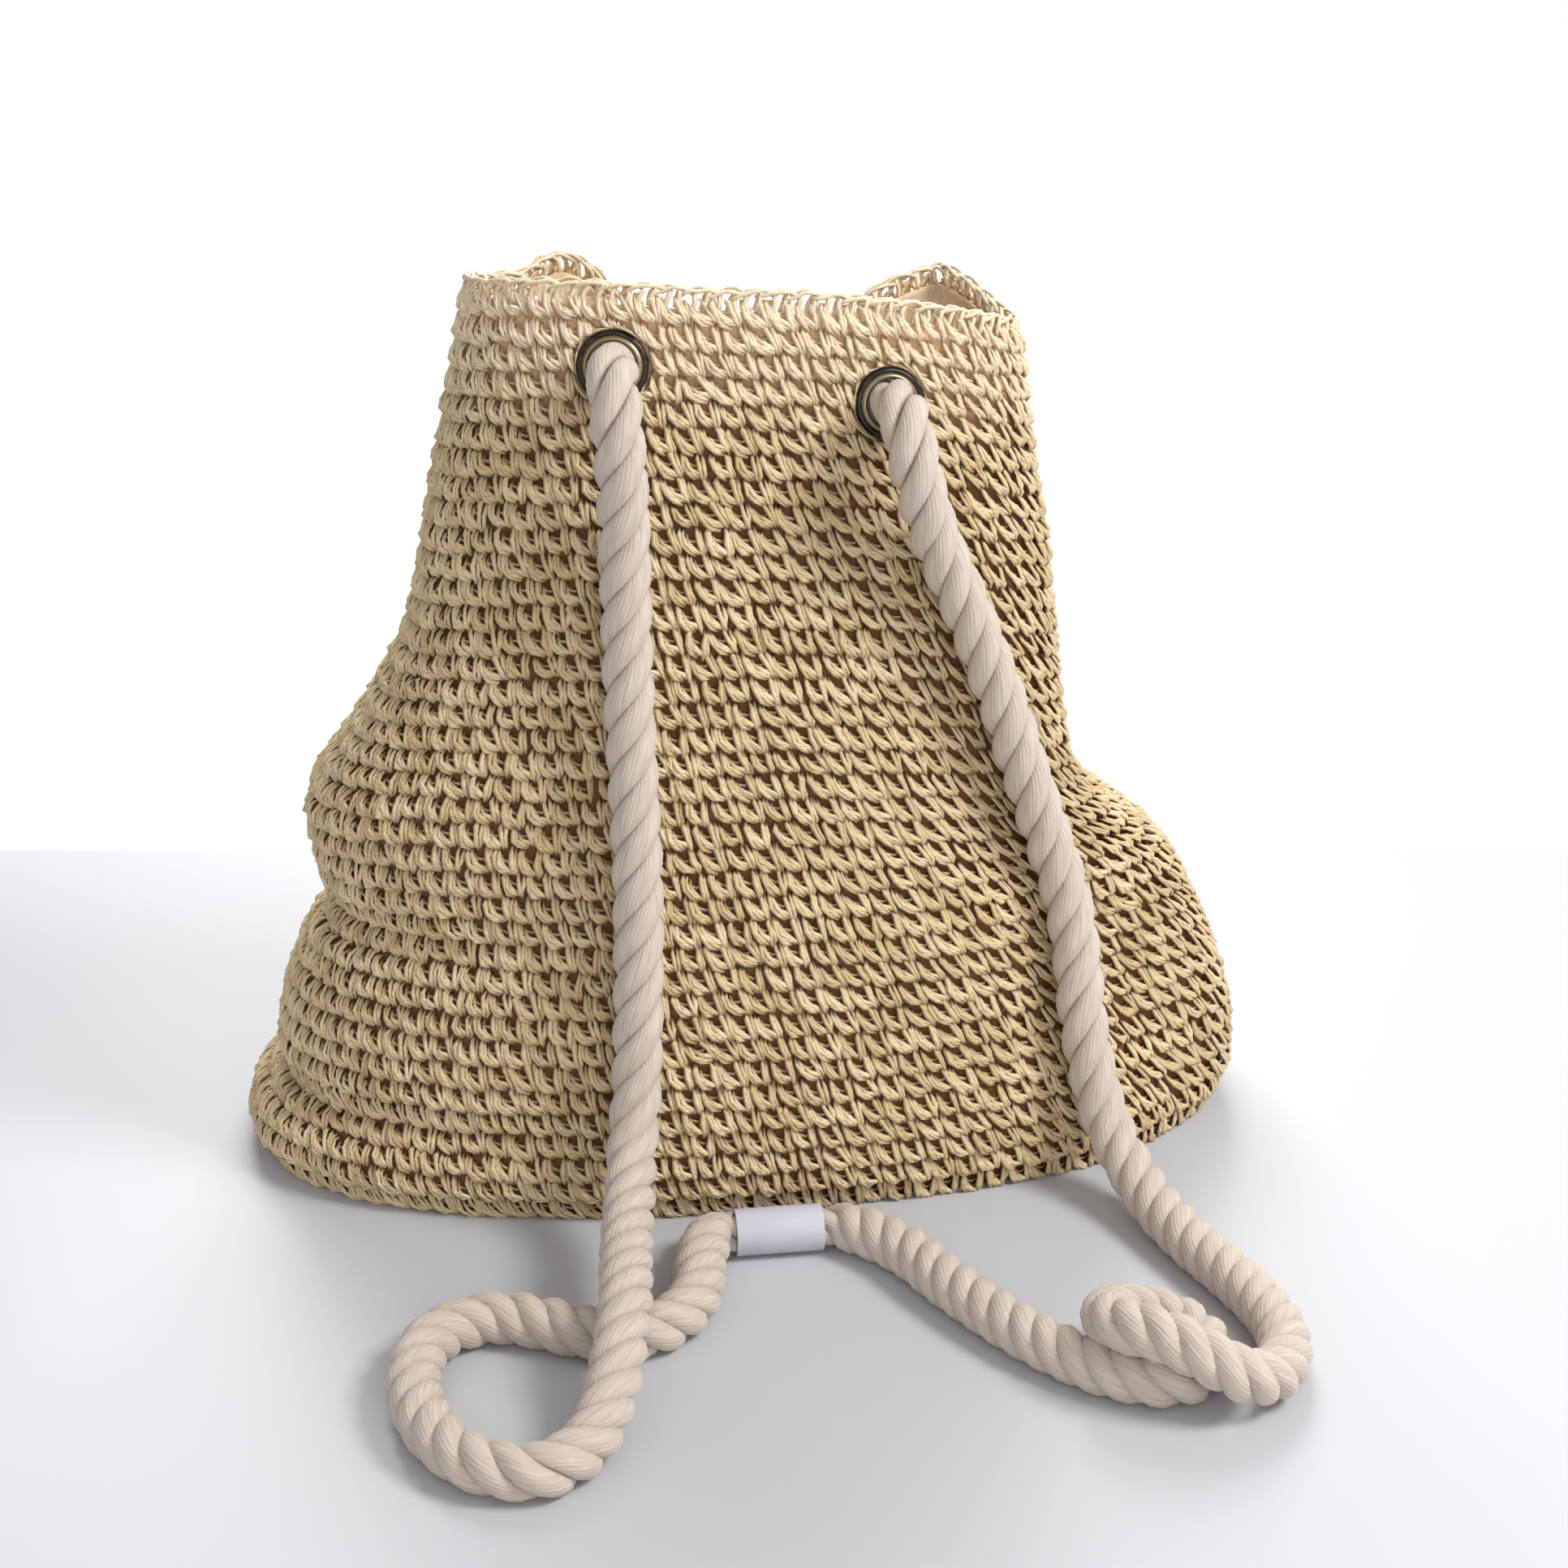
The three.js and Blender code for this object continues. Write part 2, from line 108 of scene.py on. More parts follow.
# angle, rise
RIM = np.array([
    (0, 0.93), (20, 0.942), (34, 0.96), (48, 0.963), (60, 0.95), (74, 0.915), (94, 0.905),
    (104, 0.94), (112, 0.98), (122, 0.986), (136, 0.975), (160, 0.98), (190, 0.995),
    (215, 1.002), (250, 1.003), (270, 0.992), (300, 0.97), (330, 0.946), (360, 0.93),
])
# angle, spread, lean, height, tall, push
FOLDS = (
    (180, 40, 0, 0.41, 0.05, 0.012),
    (186, 44, 0, 0.292, 0.026, -0.028),
    (180, 40, 0, 0.185, 0.05, 0.01),
    (188, 46, 0, 0.092, 0.02, -0.022),
    (182, 50, 0, 0.04, 0.03, 0.006),
    (320, 12, -40, 0.2, 0.15, -0.04),
    (346, 16, 0, 0.13, 0.1, 0.012),
    (46, 10, 0, 1.02, 0.09, 0.03),
    (74, 16, 0, 1.02, 0.14, -0.022),
    (118, 10, 0, 1.02, 0.09, 0.026),
    (60, 24, 0, 0.33, 0.06, 0.025),
    (120, 22, 0, 0.3, 0.05, -0.022),
    (135, 26, 0, 0.2, 0.05, 0.018),
)


def read_table(table, column, place):
    """A smooth curve through a table's rows, along its first column."""
    along = table[:, 0]
    values = table[:, column]
    slopes = np.empty(len(along))
    slopes[1:-1] = (values[2:] - values[:-2]) / (along[2:] - along[:-2])
    slopes[0] = (values[1] - values[0]) / (along[1] - along[0])
    slopes[-1] = (values[-1] - values[-2]) / (along[-1] - along[-2])
    row = np.clip(np.searchsorted(along, place, side="right") - 1, 0, len(along) - 2)
    span = along[row + 1] - along[row]
    s = np.clip((place - along[row]) / span, 0, 1)
    ends = values[row] * (1 + 2 * s) * (1 - s) ** 2 + values[row + 1] * s * s * (3 - 2 * s)
    return ends + span * s * (1 - s) * (slopes[row] * (1 - s) - slopes[row + 1] * s)


def rim_height(angle):
    turned = RIM[:-1] - (360, 0)
    carried = RIM[1:] + (360, 0)
    return WALL_HEIGHT * read_table(np.vstack([turned, RIM, carried]), 1, np.mod(angle, 360))


def wall_point(angle, height):
    """Points on the wall's outer skin, in mm. height is a share, 0 at the foot and 1 at the rim."""
    angle, height = np.broadcast_arrays(np.asarray(angle, float), np.asarray(height, float))
    c = np.cos(np.radians(angle))
    s = np.sin(np.radians(angle))
    power = 2 / read_table(SECTIONS, 5, height)
    side = np.where(c >= 0, read_table(SECTIONS, 2, height), read_table(SECTIONS, 1, height))
    face = np.where(s >= 0, read_table(SECTIONS, 4, height), read_table(SECTIONS, 3, height))
    wide = BAG_WIDTH * side
    deep = BAG_DEPTH * face
    along_x = np.sign(c) * np.abs(c) ** power
    along_y = np.sign(s) * np.abs(s) ** power
    length = np.hypot(along_x / wide, along_y / deep)
    push = 0
    for fold_angle, spread, lean, fold_height, tall, share in FOLDS:
        middle = fold_angle + lean * (height - fold_height)
        around = np.mod(angle - middle + 180, 360) - 180
        up = (height - fold_height) / tall
        push = push + share * BAG_WIDTH * np.exp(-((around / spread) ** 2) - up**2)
    x = wide * along_x + push * along_x / wide / length
    y = deep * along_y + push * along_y / deep / length
    return np.stack([x, y, height * rim_height(angle)], -1)


print("middle of the back panel", wall_point(270, 0.5).round(1))

# %% [markdown]
# ## A grid that follows the crochet
# Crochet goes round and round in rows of even height, with stitches of even width. So the
# surface is measured again by length: up each side, then round each level, starting at the
# far side. A stitch's place is then a share of the way round and a share of the way up.

# %% Measure the surface
GRID_ROUND = 960
GRID_UP = 480
RAW_UP = 320
FAR_SIDE = 90
NEAR_SIDE = 270
angles = np.linspace(FAR_SIDE, FAR_SIDE + 360, GRID_ROUND + 1)
heights = np.linspace(0, 1, RAW_UP + 1)
ups = np.linspace(0, 1, GRID_UP + 1)
shares = np.linspace(0, 1, GRID_ROUND + 1)


def walk_lengths(points):
    steps = np.linalg.norm(np.diff(points, axis=0), axis=1)
    return np.concatenate([[0], np.cumsum(steps)])


def resample(points, walk, wanted):
    """A line's points again, at the wanted lengths along it."""
    return np.stack([np.interp(wanted, walk, points[:, axis]) for axis in range(3)], 1)


raw = wall_point(angles[:, None], heights[None, :])
by_height = np.empty((GRID_ROUND + 1, GRID_UP + 1, 3))
for n in range(GRID_ROUND + 1):
    walk = walk_lengths(raw[n])
    by_height[n] = resample(raw[n], walk / walk[-1], ups)

skin = np.empty_like(by_height)
girths = np.empty(GRID_UP + 1)
front_shares = np.empty(GRID_UP + 1)
for n in range(GRID_UP + 1):
    walk = walk_lengths(by_height[:, n])
    girths[n] = walk[-1]
    front_shares[n] = np.interp(NEAR_SIDE, angles, walk / walk[-1])
    skin[:, n] = resample(by_height[:, n], walk / walk[-1], shares)

round_step = np.roll(skin[:-1], -1, 0) - np.roll(skin[:-1], 1, 0)
round_step = np.vstack([round_step, round_step[:1]])
skin_normals = np.cross(round_step, np.gradient(skin, axis=1))
skin_normals /= np.linalg.norm(skin_normals, axis=2, keepdims=True)
print("girth at the foot and rim", girths[0].round(), girths[-1].round())


def read_grid(grid, share, up):
    """The grid's value at a share of the way round and a share of the way up."""
    a = np.mod(share, 1) * GRID_ROUND
    b = np.clip(up, 0, 1) * GRID_UP
    i = np.minimum(a.astype(int), GRID_ROUND - 1)
    j = np.minimum(b.astype(int), GRID_UP - 1)
    fa = (a - i)[..., None]
    fb = (b - j)[..., None]
    low = grid[i, j] * (1 - fa) + grid[i + 1, j] * fa
    high = grid[i, j + 1] * (1 - fa) + grid[i + 1, j + 1] * fa
    return low * (1 - fb) + high * fb


def read_ring(ring, share):
    """A closed line's value at shares of the way round."""
    place = np.mod(share, 1) * GRID_ROUND
    i = np.minimum(place.astype(int), GRID_ROUND - 1)
    f = (place - i)[:, None]
    return ring[i] * (1 - f) + ring[i + 1] * f


def lay_on_wall(share, up, out):
    """Points at a height of out mm above the wall's outer skin."""
    return read_grid(skin, share, up) + read_grid(skin_normals, share, up) * out[..., None]


# %% [markdown]
# ## Lines, strands and meshes
# Straw and rope are both strands: an oval section carried along a smooth line. One helper
# makes the line, one sweeps the section along it and closes its ends, and one turns the
# arrays into a mesh with the UVs and attributes that the materials read.

# %% Strand helpers
DENSE_STEPS = 24


def smooth_line(points, count):
    """count points, evenly spaced, on the centripetal curve through points, and its length."""
    p = np.array(points, float)
    p = np.vstack([2 * p[0] - p[1], p, 2 * p[-1] - p[-2]])
    s = np.linspace(0, 1, DENSE_STEPS, endpoint=False)[:, None]
    pieces = []
    for n in range(1, len(p) - 2):
        before = np.linalg.norm(p[n] - p[n - 1]) ** 0.5
        here = np.linalg.norm(p[n + 1] - p[n]) ** 0.5
        after = np.linalg.norm(p[n + 2] - p[n + 1]) ** 0.5
        chord = (p[n + 1] - p[n]) / here
        start = (p[n] - p[n - 1]) / before - (p[n + 1] - p[n - 1]) / (before + here) + chord
        end = chord - (p[n + 2] - p[n]) / (here + after) + (p[n + 2] - p[n + 1]) / after
        pieces.append(
            p[n] * (2 * s**3 - 3 * s**2 + 1)
            + start * here * (s**3 - 2 * s**2 + s)
            + p[n + 1] * (3 * s**2 - 2 * s**3)
            + end * here * (s**3 - s**2)
        )
    dense = np.vstack(pieces + [p[-2:-1]])
    walk = walk_lengths(dense)
    return resample(dense, walk, np.linspace(0, walk[-1], count)), walk[-1]


def unit(vectors):
    return vectors / np.linalg.norm(vectors, axis=-1, keepdims=True)


def sweep(line, outward, half_across, half_out, sides):
    """A closed strand: vertices, four-sided faces, end faces and every face corner's UV.
    The UV's first number goes round the strand from its hidden side, and its second is mm along it."""
    rings = len(line)
    tangent = unit(np.gradient(line, axis=0))
    across = unit(np.cross(outward, tangent))
    outward = np.cross(tangent, across)
    turn = np.arange(sides) * 2 * np.pi / sides - np.pi / 2
    half_across = np.broadcast_to(half_across, rings)[:, None, None]
    half_out = np.broadcast_to(half_out, rings)[:, None, None]
    ring = across[:, None, :] * np.cos(turn)[None, :, None] * half_across
    ring = ring + outward[:, None, :] * np.sin(turn)[None, :, None] * half_out
    vertices = (line[:, None, :] + ring).reshape(-1, 3)
    walk = walk_lengths(line)
    n, m = np.meshgrid(np.arange(rings - 1), np.arange(sides), indexing="ij")
    a = (n * sides + m).ravel()
    b = (n * sides + (m + 1) % sides).ravel()
    quads = np.stack([a, b, b + sides, a + sides], 1)
    low, high = walk[n.ravel()], walk[n.ravel() + 1]
    left, right = m.ravel() / sides, (m.ravel() + 1) / sides
    corners = np.stack([left, low, right, low, right, high, left, high], 1).reshape(-1, 4, 2)
    first = np.arange(sides)[::-1]
    last = np.arange(sides) + (rings - 1) * sides
    ends = np.stack([first, last])
    end_corners = np.stack([np.stack([first / sides, np.zeros(sides)], 1),
                            np.stack([np.arange(sides) / sides, np.full(sides, walk[-1])], 1)])
    return {"vertices": vertices, "faces": [quads, ends], "corners": [corners, end_corners]}


def join_shapes(shapes):
    """Several swept shapes as one, with their face lists kept by size."""
    faces = {}
    corners = {}
    start = 0
    for shape in shapes:
        for some, uv in zip(shape["faces"], shape["corners"]):
            size = some.shape[1]
            faces.setdefault(size, []).append(some + start)
            corners.setdefault(size, []).append(uv)
        start += len(shape["vertices"])
    joined = {"vertices": np.vstack([shape["vertices"] for shape in shapes])}
    joined["faces"] = [np.vstack(faces[size]) for size in faces]
    joined["corners"] = [np.concatenate(corners[size]) for size in faces]
    for key in shapes[0]:
        if key not in joined:
            joined[key] = np.concatenate([shape[key] for shape in shapes])
    return joined


def make_object(name, shape, attributes=()):
    """A smooth-shaded mesh object from a shape in mm, with its UVs and number attributes."""
    mesh = bpy.data.meshes.new(name)
    faces = [face for some in shape["faces"] for face in some.tolist()]
    mesh.from_pydata((shape["vertices"] * MM).tolist(), [], faces)
    mesh.update()
    layer = mesh.uv_layers.new(name="strand")
    corners = np.concatenate([uv.reshape(-1, 2) for uv in shape["corners"]])
    layer.data.foreach_set("uv", corners.astype(np.float32).ravel())
    for key in attributes:
        attribute = mesh.attributes.new(key, "FLOAT", "POINT")
        attribute.data.foreach_set("value", np.asarray(shape[key], np.float32))
    mesh.polygons.foreach_set("use_smooth", np.ones(len(mesh.polygons), bool))
    thing = bpy.data.objects.new(name, mesh)
    bpy.context.scene.collection.objects.link(thing)
    triangles = sum(len(some) * (some.shape[1] - 2) for some in shape["faces"])
    print(name, triangles, "triangles")
    return thing


# %% [markdown]
# ## Shared effects
# Straw and rope both show fine fibres along their strands, so that effect is one node group.
# It takes the strand's UV and gives a height for bump and a tone for colour. A second group
# turns the depth attribute into a mask for the shade painted between strands. Small
# helpers add the nodes and fill their inputs.

# %% Node groups
def new_group(name, numbers, outputs, vectors=()):
    """An empty node group with its vector inputs, its number inputs and its outputs."""
    group = bpy.data.node_groups.new(name, "ShaderNodeTree")
    for label in vectors:
        group.interface.new_socket(name=label, in_out="INPUT", socket_type="NodeSocketVector")
    for label, value in numbers.items():
        socket = group.interface.new_socket(name=label, in_out="INPUT", socket_type="NodeSocketFloat")
        socket.default_value = value
    for label in outputs:
        group.interface.new_socket(name=label, in_out="OUTPUT", socket_type="NodeSocketFloat")
    return group, group.nodes.new("NodeGroupInput"), group.nodes.new("NodeGroupOutput")


def feed(tree, node, values):
    """Fills a node's inputs. Each value is a number, a colour or another node's output."""
    for key, value in values.items():
        if isinstance(value, bpy.types.NodeSocket):
            tree.links.new(value, node.inputs[key])
        else:
            node.inputs[key].default_value = value
    return node


def add_node(tree, kind, values=None, **settings):
    node = tree.nodes.new(kind)
    for key, value in settings.items():
        setattr(node, key, value)
    return feed(tree, node, values or {})


def calculate(tree, operation, *values, clamp=False):
    """A Math node's result."""
    values = dict(enumerate(values))
    return add_node(tree, "ShaderNodeMath", values, operation=operation, use_clamp=clamp).outputs[0]


def make_fibre_group():
    numbers = {"Fibres round": 14.0, "Length in mm": 8.0, "Turns per mm": 0.0}
    group, given, result = new_group("fibres along a strand", numbers, ("Height", "Tone"), ("UV",))
    split = add_node(group, "ShaderNodeSeparateXYZ", {0: given.outputs["UV"]})
    along = split.outputs["Y"]
    twist = calculate(group, "MULTIPLY_ADD", along, given.outputs["Turns per mm"], split.outputs["X"])
    around = calculate(group, "MULTIPLY", twist, given.outputs["Fibres round"])
    stretch = calculate(group, "DIVIDE", along, given.outputs["Length in mm"])
    place = add_node(group, "ShaderNodeCombineXYZ", {0: around, 1: stretch}).outputs[0]
    noise = add_node(group, "ShaderNodeTexNoise", {"Scale": 1.0, "Detail": 2.0, "Vector": place})
    wave = calculate(group, "SINE", calculate(group, "MULTIPLY", around, 2 * math.pi))
    wave = calculate(group, "MULTIPLY_ADD", wave, 0.25, 0.5)
    height = calculate(group, "ADD", wave, noise.outputs["Fac"])
    height = calculate(group, "MULTIPLY", height, 0.6, clamp=True)
    feed(group, result, {"Height": height, "Tone": noise.outputs["Fac"]})
    return group


def smooth_range(tree, value, low, high):
    """0 below low, 1 above high and a soft change between them."""
    values = {"Value": value, "From Min": low, "From Max": high}
    return add_node(tree, "ShaderNodeMapRange", values, interpolation_type="SMOOTHSTEP").outputs[0]


def make_hollow_group():
    numbers = {"Depth": 1.0, "Deepest": 0.0, "Clear": 0.8}
    group, given, result = new_group("shade in the hollows", numbers, ("Lit",))
    lit = smooth_range(group, given.outputs["Depth"], given.outputs["Deepest"], given.outputs["Clear"])
    feed(group, result, {"Lit": lit})
    return group


FIBRES = make_fibre_group()
HOLLOWS = make_hollow_group()
print("node groups", FIBRES.name, "and", HOLLOWS.name)

# %% [markdown]
# ## Materials
# Paper straw is a matt yellow-beige with a soft shine on its raised strands. Its colour
# changes a little from stitch to stitch. Shade is painted into it as brown deep in the holes,
# and light is painted into it as a lighter, warmer colour towards the open top, where daylight
# comes through. The cotton rope is a pinkish beige with shade painted into its grooves. The
# grommets are antique brass, near black but for the rubbed inner ring. The loop is white tape,
# painted grey-blue as shade.

# %% Materials
def start_material(name, roughness):
    material = bpy.data.materials.new(name)
    material.use_nodes = True
    shader = material.node_tree.nodes["Principled BSDF"]
    shader.inputs["Roughness"].default_value = roughness
    return material, material.node_tree, shader


def read_attribute(tree, name):
    return add_node(tree, "ShaderNodeAttribute", attribute_name=name).outputs["Fac"]


def place_group(tree, group, values):
    node = add_node(tree, "ShaderNodeGroup", values, node_tree=group)
    if "UV" in node.inputs:
        feed(tree, node, {"UV": add_node(tree, "ShaderNodeUVMap", uv_map="strand").outputs[0]})
    return node


def mix_colours(tree, factor, first, second, blend="MIX"):
    values = {"Factor": factor, 6: first, 7: second}
    return add_node(tree, "ShaderNodeMix", values, data_type="RGBA", blend_type=blend).outputs[2]


def add_noise(tree, scale, detail=2.0):
    """A noise's value and the object's own coordinates that it reads."""
    coordinates = add_node(tree, "ShaderNodeTexCoord").outputs["Object"]
    values = {"Scale": scale, "Detail": detail, "Vector": coordinates}
    return add_node(tree, "ShaderNodeTexNoise", values).outputs["Fac"], coordinates


def add_bump(tree, shader, height, strength, distance):
    values = {"Strength": strength, "Distance": distance, "Height": height}
    feed(tree, shader, {"Normal": add_node(tree, "ShaderNodeBump", values).outputs[0]})


STRAW_PALE = (0.81, 0.65, 0.41, 1)
STRAW_DARK = (0.64, 0.485, 0.27, 1)
# Painted shade: the brown that the straw turns to deep in its holes.
STRAW_PAINTED_HOLE_SHADE = (0.2, 0.08, 0.024, 1)
# Painted light: near the rim the straw and its holes turn lighter and warmer, standing in for daylight
# through the straw.
STRAW_PAINTED_TOP_GLOW = (0.86, 0.71, 0.50, 1)
STRAW_PAINTED_HOLE_GLOW = (0.95, 0.64, 0.36, 1)
STREAK_DARK = (0.52, 0.49, 0.44, 1)
STREAK_LIGHT = (1.28, 1.28, 1.28, 1)
# Where the painted glow begins and where it is full, as shares of the height.
PAINTED_GLOW_FROM = 0.84
PAINTED_GLOW_FULL = 0.98
STRAW_CLEAR = 0.71
ROPE_DARK = (0.38, 0.31, 0.255, 1)
ROPE_PALE = (0.67, 0.58, 0.495, 1)
# Painted shade in the rope's grooves.
ROPE_PAINTED_GROOVE_SHADE = (0.20, 0.125, 0.08, 1)
BRASS_DARK = (0.028, 0.024, 0.024, 1)
BRASS_RUBBED = (0.30, 0.245, 0.15, 1)
# White tape, painted grey-blue as shade.
TAPE_SHADED_DARK = (0.45, 0.45, 0.51, 1)
TAPE_SHADED_PALE = (0.54, 0.54, 0.60, 1)


def make_straw_material():
    material, tree, shader = start_material("paper straw", 0.55)
    # Painted glow: lighter and warmer towards the rim.
    painted_glow = smooth_range(tree, read_attribute(tree, "rise"), PAINTED_GLOW_FROM, PAINTED_GLOW_FULL)
    fibres = {"Fibres round": 7.0, "Length in mm": 3.2, "Turns per mm": 0.06}
    streaks = place_group(tree, FIBRES, fibres)
    pale = mix_colours(tree, read_attribute(tree, "tone"), STRAW_DARK, STRAW_PALE)
    pale = mix_colours(tree, painted_glow, pale, STRAW_PAINTED_TOP_GLOW)
    grey = mix_colours(tree, streaks.outputs["Tone"], STREAK_DARK, STREAK_LIGHT)
    pale = mix_colours(tree, 1.0, pale, grey, blend="MULTIPLY")
    # Holes: painted shade low down, turning to a painted glow near the rim.
    painted_hole_shade_and_glow = mix_colours(tree, painted_glow, STRAW_PAINTED_HOLE_SHADE, STRAW_PAINTED_HOLE_GLOW)
    # The depth attribute masks where the hole shade is painted.
    lit = place_group(tree, HOLLOWS, {"Depth": read_attribute(tree, "depth"), "Clear": STRAW_CLEAR})
    feed(tree, shader, {
        "Base Color": mix_colours(tree, lit.outputs["Lit"], painted_hole_shade_and_glow, pale),
        "Roughness": calculate(tree, "MULTIPLY_ADD", streaks.outputs["Tone"], 0.4, 0.27),
        "Specular IOR Level": 0.45,
    })
    add_bump(tree, shader, streaks.outputs["Height"], 0.9, 0.5 * MM)
    return material


def make_rope_material():
    material, tree, shader = start_material("cotton rope", 0.85)
    fibres = {"Fibres round": 20.0, "Length in mm": 9.0, "Turns per mm": 0.026}
    yarns = place_group(tree, FIBRES, fibres)
    unshaded_rope = mix_colours(tree, yarns.outputs["Tone"], ROPE_DARK, ROPE_PALE)
    # Painted shade: the grooves between strands are darkened where the depth attribute is low.
    groove_shade_range = {"Depth": read_attribute(tree, "depth"), "Deepest": 0.6, "Clear": 0.84}
    lit = place_group(tree, HOLLOWS, groove_shade_range).outputs["Lit"]
    feed(tree, shader, {
        "Base Color": mix_colours(tree, lit, ROPE_PAINTED_GROOVE_SHADE, unshaded_rope),
        "Sheen Weight": 0.25,
        "Sheen Roughness": 0.5,
        "Specular IOR Level": 0.2,
    })
    add_bump(tree, shader, yarns.outputs["Height"], 0.7, 0.5 * MM)
    return material


def make_brass_material():
    material, tree, shader = start_material("antique brass", 0.35)
    noise, _ = add_noise(tree, 420, 4)
    patchy = calculate(tree, "MULTIPLY_ADD", noise, 0.5, -0.2)
    rubbed = calculate(tree, "ADD", read_attribute(tree, "polish"), patchy, clamp=True)
    feed(tree, shader, {
        "Base Color": mix_colours(tree, rubbed, BRASS_DARK, BRASS_RUBBED),
        "Roughness": calculate(tree, "MULTIPLY_ADD", noise, 0.25, 0.22),
        "Metallic": 0.85,
    })
    add_bump(tree, shader, noise, 0.1, 0.1 * MM)
    return material


def make_tape_material():
    material, tree, shader = start_material("white tape", 0.6)
    noise, coordinates = add_noise(tree, 90)
    values = {"Scale": 380, "Distortion": 1.5, "Vector": coordinates}
    weave = add_node(tree, "ShaderNodeTexWave", values, wave_type="BANDS", bands_direction="X")
    # Painted shade: the white tape is coloured grey-blue; the noise adds a random patchy tone.
    feed(tree, shader, {"Base Color": mix_colours(tree, noise, TAPE_SHADED_DARK, TAPE_SHADED_PALE)})
    add_bump(tree, shader, weave.outputs["Fac"], 0.15, 0.15 * MM)
    return material


STRAW = make_straw_material()
ROPE = make_rope_material()
BRASS = make_brass_material()
TAPE = make_tape_material()


def finish_piece(thing, material, node):
    """Gives a piece its material and body, and hides the CAD node that it stands for."""
    thing.data.materials.clear()
    thing.data.materials.append(material)
    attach(thing, "root")
    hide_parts(node)


def add_straw(name, shape, node):
    thing = make_object(name, shape, ("depth", "tone", "rise"))
    finish_piece(thing, STRAW, node)


def add_rope(name, shape, node):
    thing = make_object(name, shape, ("depth",))
    finish_piece(thing, ROPE, node)
    return thing


# %% [markdown]
# ## The grommets' places
# Each grommet stands square to the wall. Its centre and axis come from the same surface, and
# they are needed before the stitches, because the metal ring pushes the straw aside. A stitch
# whose middle is under a ring is left out.

# %% Grommet places
GROMMETS = {"left": (250, 0.9245), "right": (291, 0.9)}
SLOPE_STEP = 0.004


def wall_axis(angle, height):
    around = wall_point(angle + 360 * SLOPE_STEP, height) - wall_point(angle - 360 * SLOPE_STEP, height)
    up = wall_point(angle, min(height + SLOPE_STEP, 1)) - wall_point(angle, height - SLOPE_STEP)
    return unit(np.cross(around, up))


seats = {side: (wall_point(*place), wall_axis(*place)) for side, place in GROMMETS.items()}
SQUEEZED = 15.6
TIGHTEST = 13.7
LEFT_OUT = 9.5


def from_seat(points, centre, axis):
    """How far points are along a grommet's axis, and their offsets and distances from it."""
    away = points - centre
    along = away @ axis
    flat = away - along[..., None] * axis
    return along, flat, np.linalg.norm(flat, axis=-1)


def clear_grommets(points):
    """Moves points near a grommet out to its flange's edge."""
    for centre, axis in seats.values():
        along, flat, distance = from_seat(points, centre, axis)
        near = (distance < SQUEEZED) & (np.abs(along) < SQUEEZED)
        wanted = TIGHTEST + (SQUEEZED - TIGHTEST) * (distance / SQUEEZED) ** 3
        shift = np.where(near, wanted / np.maximum(distance, 0.1), 1)
        points = points + flat * (shift - 1)[..., None]
    return points


def under_grommet(point):
    return any(np.linalg.norm(point - centre) < LEFT_OUT for centre, axis in seats.values())


print({side: place[0].round(1) for side, place in seats.items()})

# %% [markdown]
# ## One stitch
# A stitch shows two legs. The fat one is three plies that come out from under the row above,
# curl under the hole and slip behind at the lower right. The slim one is two plies that run
# steeply down beside the hole, and a thin bridge crosses inside it. Each ply is a short smooth
# line with an oval section. Some variants, moved a little by chance, keep the rows uneven.

# %% Stitch shapes
STITCH_WIDTH = 10.1
ROWS = 38
ROW_HEIGHT = 9.8
SEED = 7

# across and up as shares of the stitch, and mm out from the wall's skin
FAT_LEG = [
    [(-0.46, 0.52, -2.2), (-0.45, 0.2, 0.1), (-0.36, -0.12, 0.9), (-0.14, -0.4, 1.5),
     (0.2, -0.62, -0.8)],
    [(-0.33, 0.48, -2.4), (-0.32, 0.14, -0.1), (-0.22, -0.14, 0.9), (0.02, -0.36, 1.5),
     (0.34, -0.54, -0.6)],
    [(-0.23, 0.22, -2.4), (-0.16, -0.04, -0.5), (-0.03, -0.2, 0.6), (0.18, -0.34, 1.1),
     (0.44, -0.5, -0.8)],
]
STEEP_LEG = [
    [(0.16, 0.56, -1.8), (0.22, 0.24, 0.2), (0.3, -0.06, 0.8), (0.4, -0.34, 1.1), (0.5, -0.62, -1.0)],
    [(0.32, 0.54, -2.2), (0.37, 0.2, -0.3), (0.45, -0.1, 0.3), (0.54, -0.34, 0.5), (0.58, -0.6, -1.4)],
]
BRIDGE = [(-0.28, 0.14, -1.9), (-0.08, -0.02, -1.0), (0.12, -0.06, -0.9), (0.3, 0.04, -1.9)]
FAT_WIDTHS = [0.75, 0.95, 1.05, 1.1, 0.85]
STEEP_WIDTHS = [0.75, 0.95, 1.0, 0.95, 0.75]
BRIDGE_WIDTHS = [0.55, 0.65, 0.65, 0.55]
THICK = 0.85
PLY_RINGS = 5
PLY_SIDES = 4
BRIDGE_RINGS = 4
BRIDGE_SIDES = 3
WOBBLE = 0.3
CRINKLE = 0.13
DEEPEST = -3.0
PROUDEST = 1.3
rng = np.random.default_rng(SEED)


def make_ply(points, widths, rings=PLY_RINGS, sides=PLY_SIDES, wobble=WOBBLE):
    placed = np.array(points) * (STITCH_WIDTH, ROW_HEIGHT, 1)
    placed = placed + rng.normal(0, wobble, placed.shape)
    line, _ = smooth_line(placed, rings)
    half = np.interp(np.linspace(0, 1, rings), np.linspace(0, 1, len(widths)), widths)
    half = half * rng.normal(1, CRINKLE, rings)
    outward = np.tile((0.0, 0.0, 1.0), (rings, 1))
    return sweep(line, outward, half, half * THICK, sides)


